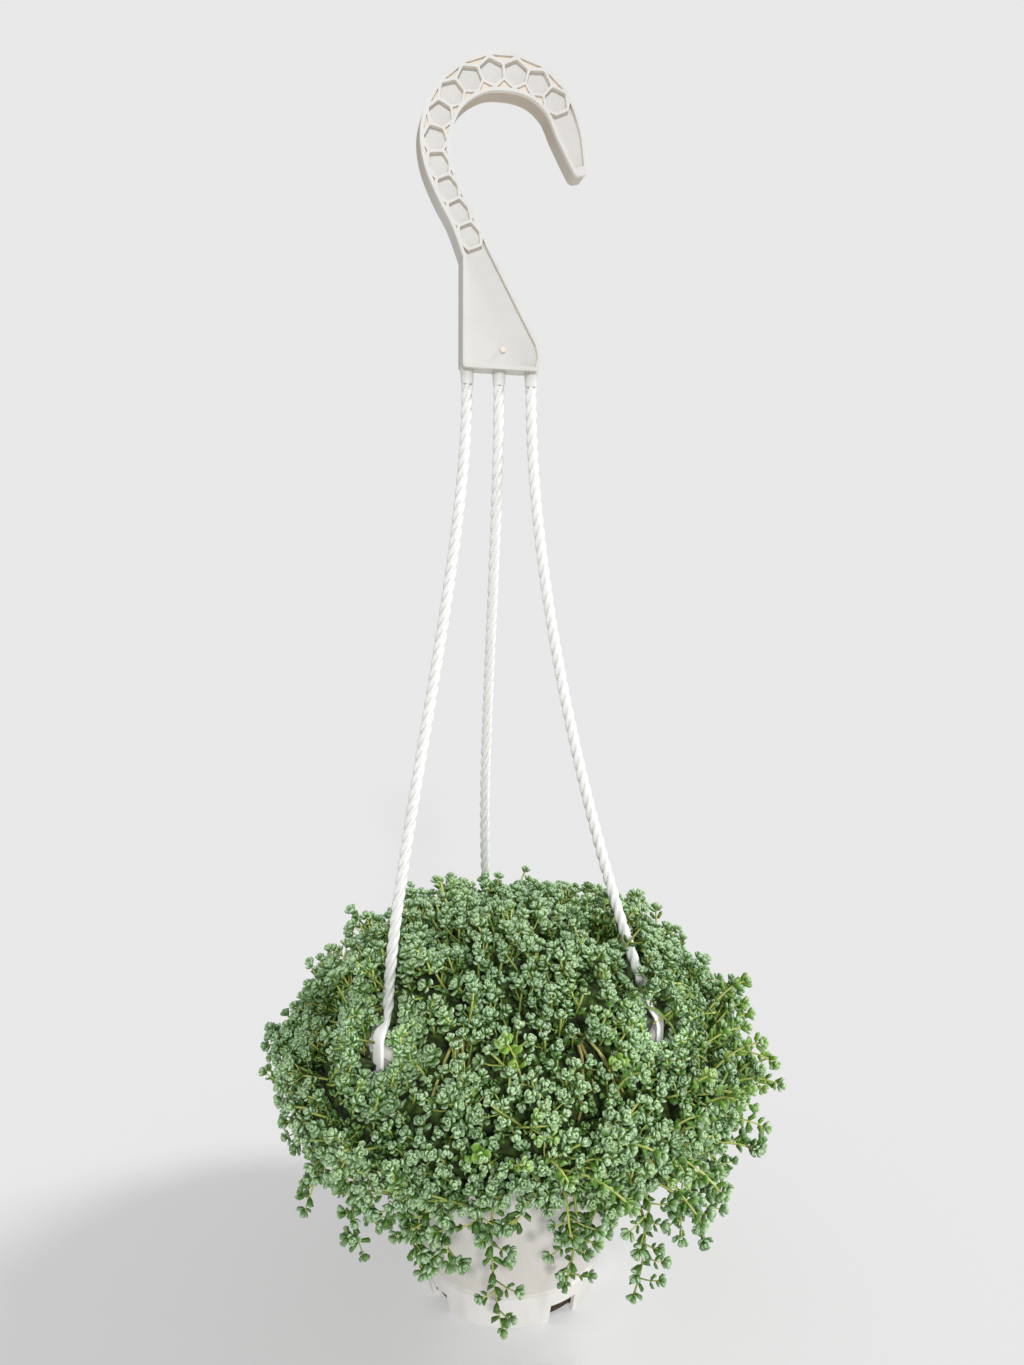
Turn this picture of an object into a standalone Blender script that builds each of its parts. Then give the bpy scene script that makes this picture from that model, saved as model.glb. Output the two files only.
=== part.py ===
"""Potted sedum in a hanging pot: a tapered pot with a foot band, a hook with three
twisted legs that clip over the rim, the soil, and the mound of leafy sprigs.

Lengths are in millimetres here and become metres when a mesh is made. The pot's
axis is Z, the floor is z = 0, and the flat hook lies in the XZ plane.
"""

import math
import random
from itertools import permutations

import bmesh
import bpy
from mathutils import Matrix, Vector

MM = 0.001
FIT_GAP = 0.3

# Pot
FOOT_RADIUS = 43.0
BAND_TOP_RADIUS = 46.2
BAND_HEIGHT = 17.0
BOWL_FOOT_RADIUS = 44.8
BOWL_RIM_RADIUS = 74.6
BOWL_CURVE = 0.26
POT_HEIGHT = 142.0
LIP_RADIUS = 77.0
LIP_HEIGHT = 5.0
WALL = 1.6
FLOOR = 1.8
POT_SIDES = 44
BOWL_STEPS = 4
BOWL_INNER_STEPS = 2
NOTCH_WIDTH = 15.0
NOTCH_HEIGHT = 9.5
NOTCH_TURN = 22.0
NOTCH_COUNT = 4

# Soil
SOIL_EDGE_Z = 121.0
SOIL_CROWN_Z = 126.0
SOIL_SHOULDER_Z = 124.2
SOIL_SHOULDER_RADIUS = 44.0
SOIL_SIDES = 22
ROOT_DEPTH = 11.0
SOIL_GAP = 0.5
ROOT_HOLE_RADIUS = 3.0

# Hook: stations along the arm as x, z and half the width, from the tip down
ARM_STATIONS = (
    (34.0, 560.0, 4.1), (31.6, 568.0, 5.6), (28.4, 578.1, 7.1), (22.5, 591.0, 7.7),
    (12.1, 600.2, 8.7), (-2.0, 603.1, 9.1), (-17.0, 600.1, 8.6), (-30.4, 589.3, 7.8),
    (-37.1, 573.9, 7.5), (-37.0, 559.9, 6.8), (-31.5, 545.7, 6.6), (-24.3, 532.1, 6.3),
    (-17.9, 518.0, 7.2),
)
ARM_STEPS = 34
PLATE_LEFT = -24.8
PLATE_RIGHT = 14.4
PLATE_BASE_Z = 463.4
PLATE_SHOULDER = (13.4, 476.5)
PLATE_CORNER = 2.2
HOOK_DEPTH = 12.0
WEB_FRONT = -3.6
WEB_BACK = -1.6
FLANGE = 1.7
TIP_WALL = 2.4
RIB_HALF = 0.55
CELL_PITCH = 11.7
CELL_COUNT = 12
FIRST_CELL_AT = 35.0
NUB_AT = (-4.6, 473.0)
NUB_RADIUS = 1.75
NUB_LENGTH = 2.4

# Sleeves under the hook, and the legs that stand in them
SOCKET_X = (-21.6, -5.6, 10.7)
SLEEVE_TOP_RADIUS = 3.3
SLEEVE_END_RADIUS = 2.9
SLEEVE_LENGTH = 7.0
SLEEVE_BORE_RADIUS = 2.2
SLEEVE_SIDES = 12
PIN_RADIUS = 1.9
PIN_LENGTH = 6.0
LEG_RADIUS = 2.75
LEG_PITCH = 22.0
LEG_STEP = 4.1

# Clips: the ears' azimuths, and the strap's path over the rim as radius and height
EAR_AZIMUTHS = (204.5, 84.5, 324.5)
LEG_END = (73.4, 154.6)
# Each leg's shape: straight drop at the top, then how far the lower control point
# stands inwards, upwards and sideways from the leg's end
LEG_BOWS = ((87.0, 2.0, 71.0, 0.0), (95.0, 10.0, 70.0, 11.0), (125.0, 15.0, 32.0, 0.0))
STRAP_PATH = (
    (74.0, 152.4, 1.3, 1.3), (75.6, 150.9, 3.0, 1.1), (77.4, 149.0, 4.1, 1.1),
    (78.5, 145.8, 4.4, 1.1), (78.6, 141.0, 4.4, 1.1), (78.6, 130.0, 4.0, 1.1),
    (78.1, 127.6, 3.2, 1.0), (76.0, 126.9, 2.8, 0.9), (70.0, 126.9, 2.6, 0.9),
    (69.0, 128.6, 2.4, 0.7),
)
SLOT_HEIGHTS = (125.4, 128.2)
SLOT_HALF_WIDTH = 3.4

# Mound of foliage: an upright half ellipse, drawn in again below its widest ring
MOUND_RADIUS = 125.0
MOUND_WIDEST_Z = 104.0
MOUND_RISE = 98.0
MOUND_DROP = 78.0
BAND_ARC = 48.0
SPOT_PITCH = 16.0
SPOT_JITTER = 0.13
FIRST_ROW_ARC = 9.0
SPOT_LIFT = (-2.0, 3.0)
VALLEY_DEPTH = 5.5
BORDER_PULL = 0.6
TOOTH_PULL = 2.4
TIP_GAP = 0.7
TIP_RISE = 2.8
APEX_RISE = 0.6
BUD_RISE = 4.5
BUD_SHARE = 0.35
TILT = 0.25
LEG_GAP = 9.5
LEG_GAP_STEP = 7.0
LEG_GAP_FLOOR = -10.0
LEG_GAP_TOP = 9.0
HEART_DEPTH = 23.0
STEM_FOOT = 5.0
SHOOT_FOOT = 1.6
STEM_RADIUS = 1.8
SHOOT_RADIUS = 1.1
SHOOT_PAIRS = 3
SHOOT_ROSETTE = 7.5
LEAF_LENGTH = 7.5
LEAF_WIDTH = 4.6
LEAF_THICK = 2.6

# One row per band of sprigs, from the crown down: sectors, the azimuth where the
# first starts, root radius in the soil, stem control points as radius and height,
# and how many degrees the stem is swung aside
BANDS = (
    (3, 85.5, 10.0, (10.0, 150.0), (20.0, 175.0), 0.0),
    (6, 85.5, 26.0, (27.0, 160.0), (52.0, 165.0), 0.0),
    (9, 85.5, 40.0, (42.0, 165.0), (76.0, 158.0), 0.0),
    (9, 105.5, 51.0, (53.0, 174.0), (100.0, 168.0), -9.0),
    (9, 85.5, 61.0, (63.0, 184.0), (98.0, 150.0), -13.0),
)
LOWEST_BAND = 4
BARE_SECTOR = 4

# Trailing shoots: azimuth, radius and height of the tip
SHOOTS = (
    (254.0, 97.0, 31.0), (273.0, 93.0, 47.0), (229.0, 99.0, 50.0), (201.0, 99.0, 40.0),
    (296.0, 97.0, 33.0), (315.0, 112.0, 56.0), (340.0, 135.0, 74.0), (182.0, 120.0, 50.0),
    (150.0, 111.0, 44.0), (104.0, 110.0, 47.0), (62.0, 112.0, 43.0), (20.0, 120.0, 50.0),
)

WHITE = (0.83, 0.82, 0.79)
LEAF = (0.24, 0.36, 0.25)
EARTH = (0.09, 0.055, 0.035)

rng = random.Random(7)


def clear_scene():
    for item in list(bpy.data.objects):
        bpy.data.objects.remove(item, do_unlink=True)


def material(name, colour, roughness):
    made = bpy.data.materials.new(name)
    made.use_nodes = True
    shader = made.node_tree.nodes["Principled BSDF"]
    shader.inputs["Base Color"].default_value = (*colour, 1.0)
    shader.inputs["Roughness"].default_value = roughness
    shader.inputs["Metallic"].default_value = 0.0
    return made


def object_from(bm, name, finish=None):
    """Turns a bmesh in millimetres into an object in metres."""
    bmesh.ops.scale(bm, vec=(MM, MM, MM), verts=bm.verts)
    bmesh.ops.recalc_face_normals(bm, faces=bm.faces)
    mesh = bpy.data.meshes.new(name)
    bm.to_mesh(mesh)
    bm.free()
    made = bpy.data.objects.new(name, mesh)
    bpy.context.scene.collection.objects.link(made)
    if finish:
        mesh.materials.append(finish)
    return made


def apply_modifiers(item):
    graph = bpy.context.evaluated_depsgraph_get()
    mesh = bpy.data.meshes.new_from_object(item.evaluated_get(graph))
    item.modifiers.clear()
    item.data = mesh


def combine(item, others, operation):
    """Joins or cuts an object with a group of others, which are then removed."""
    group = bpy.data.collections.new(item.name + "_operands")
    bpy.context.scene.collection.children.link(group)
    for other in others:
        bpy.context.scene.collection.objects.unlink(other)
        group.objects.link(other)
    boolean = item.modifiers.new("combine", "BOOLEAN")
    boolean.operation = operation
    boolean.operand_type = "COLLECTION"
    boolean.collection = group
    apply_modifiers(item)
    for other in others:
        bpy.data.objects.remove(other, do_unlink=True)
    bpy.data.collections.remove(group)


def polar(radius, azimuth, z=0.0):
    angle = math.radians(azimuth)
    return Vector((radius * math.cos(angle), radius * math.sin(angle), z))


def bezier(start, first, second, end, t):
    u = 1.0 - t
    return start * u ** 3 + first * (3 * u * u * t) + second * (3 * u * t * t) + end * t ** 3


def catmull(rows, per_span):
    """Smooth curve through rows of numbers, with per_span steps between two rows."""
    points = []
    last = len(rows) - 1
    for i in range(last):
        a = Vector(rows[max(i - 1, 0)])
        b = Vector(rows[i])
        c = Vector(rows[i + 1])
        d = Vector(rows[min(i + 2, last)])
        for k in range(per_span):
            t = k / per_span
            points.append(0.5 * ((2 * b) + (c - a) * t + (2 * a - 5 * b + 4 * c - d) * t * t
                                 + (3 * b - a - 3 * c + d) * t ** 3))
    points.append(Vector(rows[-1]))
    return points


def skin_rings(bm, rings):
    """Joins rings of points with triangles that lean with a twist, and closes both ends."""
    loops = [[bm.verts.new(p) for p in points] for points in rings]
    count = len(loops[0])
    for low, high in zip(loops, loops[1:]):
        for i in range(count):
            j = (i + 1) % count
            bm.faces.new((low[i], low[j], high[i]))
            bm.faces.new((low[j], high[j], high[i]))
    bm.faces.new(loops[0][::-1])
    bm.faces.new(loops[-1])


def lathe(bm, profile, sides):
    """Turns a profile of radius and height round Z. Ends at radius 0 become poles."""
    rings = []
    for radius, z in profile:
        if radius == 0.0:
            rings.append([bm.verts.new((0.0, 0.0, z))])
        else:
            rings.append([bm.verts.new(polar(radius, 360.0 * i / sides, z)) for i in range(sides)])
    for low, high in zip(rings, rings[1:]):
        for i in range(sides):
            j = (i + 1) % sides
            corners = [low[i % len(low)], low[j % len(low)], high[j % len(high)], high[i % len(high)]]
            unique = list(dict.fromkeys(corners))
            bm.faces.new(unique)


def box(bm, size, centre, azimuth=0.0):
    place = Matrix.Rotation(math.radians(azimuth), 4, "Z") @ Matrix.Translation(Vector(centre))
    bmesh.ops.create_cube(bm, size=1.0, matrix=place @ Matrix.Diagonal((*size, 1.0)))


# Pot

def bowl_radius(z):
    """Outer radius of the bowl, a little steeper towards the rim."""
    top = POT_HEIGHT - LIP_HEIGHT
    s = (z - BAND_HEIGHT) / (top - BAND_HEIGHT)
    rise = (1.0 + BOWL_CURVE) * s - BOWL_CURVE * s * s
    return BOWL_FOOT_RADIUS + (BOWL_RIM_RADIUS - BOWL_FOOT_RADIUS) * rise


def bowl_heights(low, high, steps):
    return [low + (high - low) * i / steps for i in range(steps + 1)]


def pot_profile():
    top = POT_HEIGHT - LIP_HEIGHT
    outside = [(0.0, 0.0), (FOOT_RADIUS - 1.0, 0.0), (FOOT_RADIUS, 1.2),
               (BAND_TOP_RADIUS, BAND_HEIGHT - 0.8), (BOWL_FOOT_RADIUS, BAND_HEIGHT + 0.3)]
    outside += [(bowl_radius(z), z) for z in bowl_heights(BAND_HEIGHT + 0.8, top, BOWL_STEPS)[1:]]
    lip = [(LIP_RADIUS, top + 0.2), (LIP_RADIUS, POT_HEIGHT - 1.4), (LIP_RADIUS - 1.2, POT_HEIGHT),
           (BOWL_RIM_RADIUS - 0.9, POT_HEIGHT), (BOWL_RIM_RADIUS - WALL, POT_HEIGHT - 1.0)]
    inside = [(bowl_radius(z) - WALL, z) for z in bowl_heights(top, BAND_HEIGHT, BOWL_INNER_STEPS)]
    inside += [(FOOT_RADIUS - WALL, FLOOR + 1.2), (FOOT_RADIUS - WALL - 1.2, FLOOR), (0.0, FLOOR)]
    return outside + lip + inside


def build_pot(white):
    bm = bmesh.new()
    lathe(bm, pot_profile(), POT_SIDES)
    pot = object_from(bm, "pot", white)
    cutter = bmesh.new()
    reach = 14.0
    for i in range(NOTCH_COUNT):
        azimuth = NOTCH_TURN + 360.0 * i / NOTCH_COUNT
        box(cutter, (reach, NOTCH_WIDTH, 2 * NOTCH_HEIGHT), (FOOT_RADIUS, 0.0, 0.0), azimuth)
    low, high = SLOT_HEIGHTS
    for azimuth in EAR_AZIMUTHS:
        box(cutter, (8.0, 2 * SLOT_HALF_WIDTH, high - low),
            (bowl_radius(low) - WALL / 2, 0.0, (low + high) / 2), azimuth)
    combine(pot, [object_from(cutter, "pot_cutter")], "DIFFERENCE")
    pot.data.shade_smooth()
    pot.data.set_sharp_from_angle(angle=math.radians(35))
    return pot


# Soil

def build_soil(earth, roots):
    heights = bowl_heights(BAND_HEIGHT + 0.8, SOIL_EDGE_Z, 4)
    gap = WALL + SOIL_GAP
    profile = [(0.0, FLOOR + FIT_GAP), (FOOT_RADIUS - gap - 1.4, FLOOR + FIT_GAP)]
    profile += [(bowl_radius(z) - gap, z) for z in heights]
    profile += [(SOIL_SHOULDER_RADIUS, SOIL_SHOULDER_Z), (0.0, SOIL_CROWN_Z)]
    bm = bmesh.new()
    lathe(bm, profile, SOIL_SIDES)
    soil = object_from(bm, "soil", earth)
    cutter = bmesh.new()
    for root in roots:
        depth = 2 * (ROOT_DEPTH + FIT_GAP)
        place = Matrix.Translation((root.x, root.y, soil_height(root)))
        bmesh.ops.create_cone(cutter, cap_ends=True, segments=4, radius1=ROOT_HOLE_RADIUS,
                              radius2=ROOT_HOLE_RADIUS, depth=depth, matrix=place)
    combine(soil, [object_from(cutter, "root_holes")], "DIFFERENCE")
    return soil


def soil_height(point):
    """Height of the soil's surface at a point, on its two straight slopes."""
    radius = math.hypot(point.x, point.y)
    if radius < SOIL_SHOULDER_RADIUS:
        return SOIL_CROWN_Z + (SOIL_SHOULDER_Z - SOIL_CROWN_Z) * radius / SOIL_SHOULDER_RADIUS
    edge = bowl_radius(SOIL_EDGE_Z) - WALL - SOIL_GAP
    down = (radius - SOIL_SHOULDER_RADIUS) / (edge - SOIL_SHOULDER_RADIUS)
    return SOIL_SHOULDER_Z + (SOIL_EDGE_Z - SOIL_SHOULDER_Z) * down


# Hook

class Arm:
    """The hook's arm: maps a distance along its middle and an offset across it."""

    def __init__(self):
        self.rows = catmull(ARM_STATIONS, 8)
        self.at = [0.0]
        for a, b in zip(self.rows, self.rows[1:]):
            self.at.append(self.at[-1] + math.hypot(b[0] - a[0], b[1] - a[1]))
        self.length = self.at[-1]

    def station(self, s):
        s = min(max(s, 0.0), self.length - 1e-6)
        i = max(k for k, value in enumerate(self.at) if value <= s)
        t = (s - self.at[i]) / (self.at[i + 1] - self.at[i])
        return self.rows[i].lerp(self.rows[i + 1], t)

    def point(self, s, across):
        """across is positive on the outer side of the hook's bend."""
        here = self.station(s)
        before = self.station(s - 1.5)
        after = self.station(s + 1.5)
        along = Vector((after[0] - before[0], after[1] - before[1])).normalized()
        return Vector((here[0] + along.y * across, here[1] - along.x * across))

    def half(self, s):
        return self.station(s)[2]


def arc_points(centre, radius, start, end, steps):
    points = []
    for i in range(steps + 1):
        angle = math.radians(start + (end - start) * i / steps)
        points.append(Vector(centre) + radius * Vector((math.cos(angle), math.sin(angle))))
    return points


def hook_outline(arm):
    stops = [arm.length * i / ARM_STEPS for i in range(ARM_STEPS + 1)]
    outer = [arm.point(s, arm.half(s)) for s in stops]
    inner = [arm.point(s, -arm.half(s)) for s in stops]
    tip = arm.point(0.0, 0.0) + Vector((0.8, -1.2))
    c = PLATE_CORNER
    left = arc_points((PLATE_LEFT + c, PLATE_BASE_Z + c), c, 180, 270, 3)
    right = arc_points((PLATE_RIGHT - c - 0.6, PLATE_BASE_Z + c), c, 270, 350, 3)
    shoulder = [Vector((PLATE_RIGHT, PLATE_SHOULDER[1] - 5.0)), Vector(PLATE_SHOULDER)]
    return [tip] + outer + left + right + shoulder + inner[::-1]


def prism(bm, outline, low_y, high_y):
    """Extrudes an outline in the XZ plane from low_y to high_y."""
    near = [bm.verts.new((p.x, low_y, p.y)) for p in outline]
    far = [bm.verts.new((p.x, high_y, p.y)) for p in outline]
    count = len(outline)
    for i in range(count):
        j = (i + 1) % count
        bm.faces.new((near[i], near[j], far[j], far[i]))
    bm.faces.new(near[::-1])
    bm.faces.new(far)


def cell_pocket(arm, centre):
    """A honeycomb cell, flattened where the arm is narrower than the cell."""
    side = CELL_PITCH / math.sqrt(3.0) - RIB_HALF * 1.15
    half = CELL_PITCH / 2 - RIB_HALF
    near = [(-half, -side / 2), (-half, side / 2), (0.0, side)]
    points = []
    for u, v in near + [(-u, -v) for u, v in near]:
        room = arm.half(centre + u) - FLANGE
        points.append(arm.point(centre + u, max(-room, min(room, v))))
    return points


def gap_pocket(arm, wall, side):
    """The three-cornered gap between two cells and the flange, or None if too small."""
    room = arm.half(wall) - FLANGE
    apex = CELL_PITCH / math.sqrt(3.0) / 2 + RIB_HALF * 1.2
    wide = min((room - apex) / 0.577, CELL_PITCH / 2 - 2 * RIB_HALF)
    if wide < 1.0:
        return None
    ends = [arm.point(wall + wide, side * room), arm.point(wall - wide, side * room)]
    return [arm.point(wall, side * apex)] + ends


def tip_pocket(arm, first):
    reach = first - CELL_PITCH / 2 - RIB_HALF
    stops = [TIP_WALL + (reach + 2.6 - TIP_WALL) * i / 4 for i in range(5)]
    outer = [arm.point(s, arm.half(s) - FLANGE) for s in stops]
    inner = [arm.point(s, FLANGE - arm.half(s)) for s in stops]
    end = [arm.point(reach, 3.3), arm.point(reach, -3.3)]
    return outer + end + inner[::-1]


def plate_pocket(arm, last):
    """The plate's recess, which runs up round the lower half of the last cell."""
    half = CELL_PITCH / 2 + RIB_HALF
    corner_at = half / math.sqrt(3.0)
    room = arm.half(last + half) - FLANGE
    rise = last + half * (2 * corner_at - room) / corner_at
    f = FLANGE
    slope = Vector(PLATE_SHOULDER)
    corner = arc_points((PLATE_LEFT + f + 1.5, PLATE_BASE_Z + f + 1.5), 1.5, 180, 270, 2)
    low_right = [Vector((PLATE_RIGHT - f - 1.4, PLATE_BASE_Z + f)),
                 Vector((PLATE_RIGHT - f, PLATE_BASE_Z + f + 5.0))]
    end_room = arm.half(arm.length) - f
    left = [arm.point(last + half, corner_at), arm.point(rise, room), arm.point(arm.length, end_room)]
    right = [slope - Vector((f * 1.15, 0.6)), arm.point(arm.length, -end_room), arm.point(rise, -room),
             arm.point(last + half, -corner_at)]
    return left + corner + low_right + right


def build_hook(white):
    arm = Arm()
    bm = bmesh.new()
    prism(bm, hook_outline(arm), -HOOK_DEPTH / 2, HOOK_DEPTH / 2)
    hook = object_from(bm, "hanger_hook", white)
    cells = [FIRST_CELL_AT + CELL_PITCH * i for i in range(CELL_COUNT)]
    pockets = [cell_pocket(arm, s) for s in cells]
    for s in cells[1:]:
        for side in (1.0, -1.0):
            gap = gap_pocket(arm, s - CELL_PITCH / 2, side)
            if gap:
                pockets.append(gap)
    pockets.append(tip_pocket(arm, cells[0]))
    pockets.append(plate_pocket(arm, cells[-1]))
    cutter = bmesh.new()
    for outline in pockets:
        prism(cutter, outline, -HOOK_DEPTH, WEB_FRONT)
        prism(cutter, outline, WEB_BACK, HOOK_DEPTH)
    combine(hook, [object_from(cutter, "hook_pockets")], "DIFFERENCE")
    combine(hook, [sleeve(x) for x in SOCKET_X] + [nub()], "UNION")
    hook.data.shade_smooth()
    hook.data.set_sharp_from_angle(angle=math.radians(30))
    return hook


def sleeve(x):
    """A tapered sleeve with a blind bore that takes a leg's pin from below."""
    top = PLATE_BASE_Z + FLANGE / 2
    low = PLATE_BASE_Z - SLEEVE_LENGTH
    bore_end = low + PIN_LENGTH + FIT_GAP
    bm = bmesh.new()
    lathe(bm, [(0.0, top), (SLEEVE_TOP_RADIUS, top), (SLEEVE_END_RADIUS, low),
               (SLEEVE_BORE_RADIUS, low), (SLEEVE_BORE_RADIUS, bore_end), (0.0, bore_end)], SLEEVE_SIDES)
    bmesh.ops.translate(bm, vec=(x, 0.0, 0.0), verts=bm.verts)
    return object_from(bm, "sleeve")


def nub():
    bm = bmesh.new()
    centre = Matrix.Translation((NUB_AT[0], WEB_FRONT - 0.2, NUB_AT[1]))
    place = centre @ Matrix.Rotation(math.pi / 2, 4, "X")
    bmesh.ops.create_cone(bm, cap_ends=True, segments=10, radius1=NUB_RADIUS, radius2=NUB_RADIUS * 0.75,
                          depth=NUB_LENGTH, matrix=place)
    return object_from(bm, "nub")


# Legs and clips

def leg_curve(index):
    """The leg's four control points, from its sleeve to its clip."""
    drop, inward, up, sideways = LEG_BOWS[index]
    start = Vector((SOCKET_X[index], 0.0, PLATE_BASE_Z - SLEEVE_LENGTH - FIT_GAP))
    end = polar(LEG_END[0], EAR_AZIMUTHS[index], LEG_END[1])
    out = Vector((end.x - start.x, end.y, 0.0)).normalized()
    side = Vector((-out.y, out.x, 0.0))
    lower = end - out * inward + side * sideways + Vector((0.0, 0.0, up))
    return start, start - Vector((0.0, 0.0, drop)), lower, end


def ring4(centre, side, across, half_side, half_across, turn=0.0):
    """Four corners round a centre. turn is in radians."""
    points = []
    for k in range(4):
        angle = turn + math.pi / 4 + k * math.pi / 2
        points.append(centre + side * (half_side * math.sqrt(2) * math.cos(angle))
                      + across * (half_across * math.sqrt(2) * math.sin(angle)))
    return points


def build_leg(index, white):
    azimuth = EAR_AZIMUTHS[index]
    tangential = polar(1.0, azimuth + 90.0)
    control = leg_curve(index)
    dense = [bezier(*control, i / 400) for i in range(401)]
    run = [0.0]
    for a, b in zip(dense, dense[1:]):
        run.append(run[-1] + (b - a).length)
    length = run[-1]
    count = round(length / LEG_STEP)
    start = control[0]
    pin = PIN_RADIUS / math.sqrt(2)
    rings = [ring4(start + Vector((0.0, 0.0, PIN_LENGTH)), tangential, polar(1.0, azimuth), pin, pin),
             ring4(start + Vector((0.0, 0.0, 0.02)), tangential, polar(1.0, azimuth), pin, pin)]
    half = LEG_RADIUS / math.sqrt(2)
    for i in range(count + 1):
        s = length * i / count
        k = min(range(401), key=lambda n: abs(run[n] - s))
        along = (dense[min(k + 1, 400)] - dense[max(k - 1, 0)]).normalized()
        across = along.cross(tangential).normalized()
        side = across.cross(along).normalized()
        turn = -2 * math.pi * (length - s) / LEG_PITCH
        rings.append(ring4(dense[k], side, across, half, half, turn))
    rings += strap_rings(azimuth, tangential)
    bm = bmesh.new()
    skin_rings(bm, rings)
    return object_from(bm, f"hanger_leg_{index + 1}", white)


def strap_rings(azimuth, tangential):
    """Sections of the neck, the strap over the rim, and the barb in the wall's slot."""
    rings = []
    for i, (radius, z, half_width, half_thick) in enumerate(STRAP_PATH):
        before = STRAP_PATH[i - 1][:2] if i else LEG_END
        after = STRAP_PATH[min(i + 1, len(STRAP_PATH) - 1)][:2]
        along = (polar(after[0], azimuth, after[1]) - polar(before[0], azimuth, before[1])).normalized()
        across = along.cross(tangential).normalized()
        rings.append(ring4(polar(radius, azimuth, z), tangential, across, half_width, half_thick))
    return rings


# Foliage

def swell(azimuth):
    """The mound is a little lobed, as a grown plant is."""
    a = math.radians(azimuth)
    return 1.0 + 0.02 * math.sin(2 * a + 0.7) + 0.018 * math.sin(3 * a + 2.1) + 0.012 * math.sin(5 * a)


def mound_height(theta):
    return MOUND_RISE if theta < 90.0 else MOUND_DROP


def mound_section(theta):
    t = math.radians(theta)
    return MOUND_RADIUS * math.sin(t), MOUND_WIDEST_Z + mound_height(theta) * math.cos(t)


def mound_arcs():
    arcs = [0.0]
    for degree in range(1, 171):
        a = mound_section(degree - 1.0)
        b = mound_section(float(degree))
        arcs.append(arcs[-1] + math.hypot(b[0] - a[0], b[1] - a[1]))
    return arcs


MOUND_ARCS = mound_arcs()


def theta_at(arc):
    i = max(k for k, value in enumerate(MOUND_ARCS) if value <= arc)
    return i + (arc - MOUND_ARCS[i]) / (MOUND_ARCS[i + 1] - MOUND_ARCS[i])


def mound_point(arc, azimuth):
    radius, z = mound_section(theta_at(arc))
    return polar(radius * swell(azimuth), azimuth, z)


def mound_normal(arc, azimuth):
    up = mound_point(max(arc - 2.0, 0.01), azimuth) - mound_point(arc + 2.0, azimuth)
    round_about = mound_point(arc, azimuth + 1.0) - mound_point(arc, azimuth - 1.0)
    return round_about.cross(up).normalized()


def over_mound(point):
    """Height of a point over the mound's surface, with its polar angle and azimuth."""
    azimuth = math.degrees(math.atan2(point.y, point.x))
    across = point.xy.length
    up = point.z - MOUND_WIDEST_Z
    flat = across / (MOUND_RADIUS * swell(azimuth))
    tall = up / (MOUND_RISE if up > 0 else MOUND_DROP)
    height = math.hypot(across, up) * (1.0 - 1.0 / math.hypot(flat, tall))
    return height, math.degrees(math.atan2(flat, tall)), azimuth


def sector_span(band, sector):
    """Where a sector starts, and its width, in degrees."""
    sectors, first = BANDS[band][:2]
    width = 360.0 / sectors
    return first + width * sector, width


def owner_of(arc, azimuth):
    """The band and sector that a spot belongs to, or None below the mound or where it is bare."""
    band = int(arc // BAND_ARC)
    if band > LOWEST_BAND:
        return None
    sectors, first = BANDS[band][:2]
    sector = int(((azimuth - first) % 360.0) * sectors / 360.0)
    return None if (band, sector) == (LOWEST_BAND, BARE_SECTOR) else (band, sector)


class Spot:
    """The place of one rosette on the mound. A spot without an owner stays empty."""

    def __init__(self, theta, azimuth, owner):
        whole = int(theta)
        arc = MOUND_ARCS[whole] + (theta - whole) * (MOUND_ARCS[whole + 1] - MOUND_ARCS[whole])
        self.owner = owner
        self.azimuth = azimuth
        self.arc = arc
        self.point = mound_point(arc, azimuth)
        self.normal = mound_normal(arc, azimuth)
        self.direction = polar(math.sin(math.radians(theta)), azimuth, math.cos(math.radians(theta)))
        self.valleys = []
        self.room = SPOT_PITCH


def leg_spots():
    """Empty spots where the legs pass through the leaves."""
    spots = []
    for index in range(3):
        control = leg_curve(index)
        last = None
        for i in range(60, 121):
            point = bezier(*control, i / 120)
            height, theta, azimuth = over_mound(point)
            inside = LEG_GAP_FLOOR < height < LEG_GAP_TOP
            if inside and (last is None or (point - last).length > LEG_GAP_STEP):
                spots.append(Spot(theta, azimuth, None))
                last = point
    return spots


def place_spots():
    """Rosettes in staggered rows over the mound, and a ring of empty spots below it."""
    empty = leg_spots()
    spots = list(empty)
    row_step = SPOT_PITCH * math.sqrt(3.0) / 2
    arc = FIRST_ROW_ARC
    while arc < BAND_ARC * len(BANDS) + row_step:
        radius = mound_point(arc, 0.0).xy.length
        count = max(3, round(2 * math.pi * radius / SPOT_PITCH))
        phase = rng.uniform(0.0, 360.0)
        for i in range(count):
            azimuth = (phase + 360.0 * (i + rng.uniform(-SPOT_JITTER, SPOT_JITTER)) / count) % 360.0
            at = arc + row_step * rng.uniform(-SPOT_JITTER, SPOT_JITTER)
            spot = Spot(theta_at(at), azimuth, owner_of(at, azimuth))
            if all((spot.point - other.point).length > LEG_GAP for other in empty):
                spots.append(spot)
        arc += row_step
    return spots


def find_valleys(spots):
    """The low points between each three neighbouring spots."""
    bm = bmesh.new()
    index = {bm.verts.new(spot.direction): k for k, spot in enumerate(spots)}
    index[bm.verts.new((0.0, 0.0, -1.0))] = -1
    hull = bmesh.ops.convex_hull(bm, input=list(bm.verts))
    valleys = []
    for face in hull["geom"]:
        if not isinstance(face, bmesh.types.BMFace):
            continue
        trio = sorted(index[corner] for corner in face.verts)
        if trio[0] < 0:
            continue
        near = [spots[k] for k in trio]
        normal = sum((spot.normal for spot in near), Vector()).normalized()
        point = sum((spot.point for spot in near), Vector()) / 3 - normal * VALLEY_DEPTH
        for spot in near:
            spot.valleys.append(len(valleys))
            for other in near:
                if other is not spot:
                    spot.room = min(spot.room, (spot.point - other.point).length / 2)
        valleys.append((trio, point, normal))
    bm.free()
    return valleys


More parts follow.
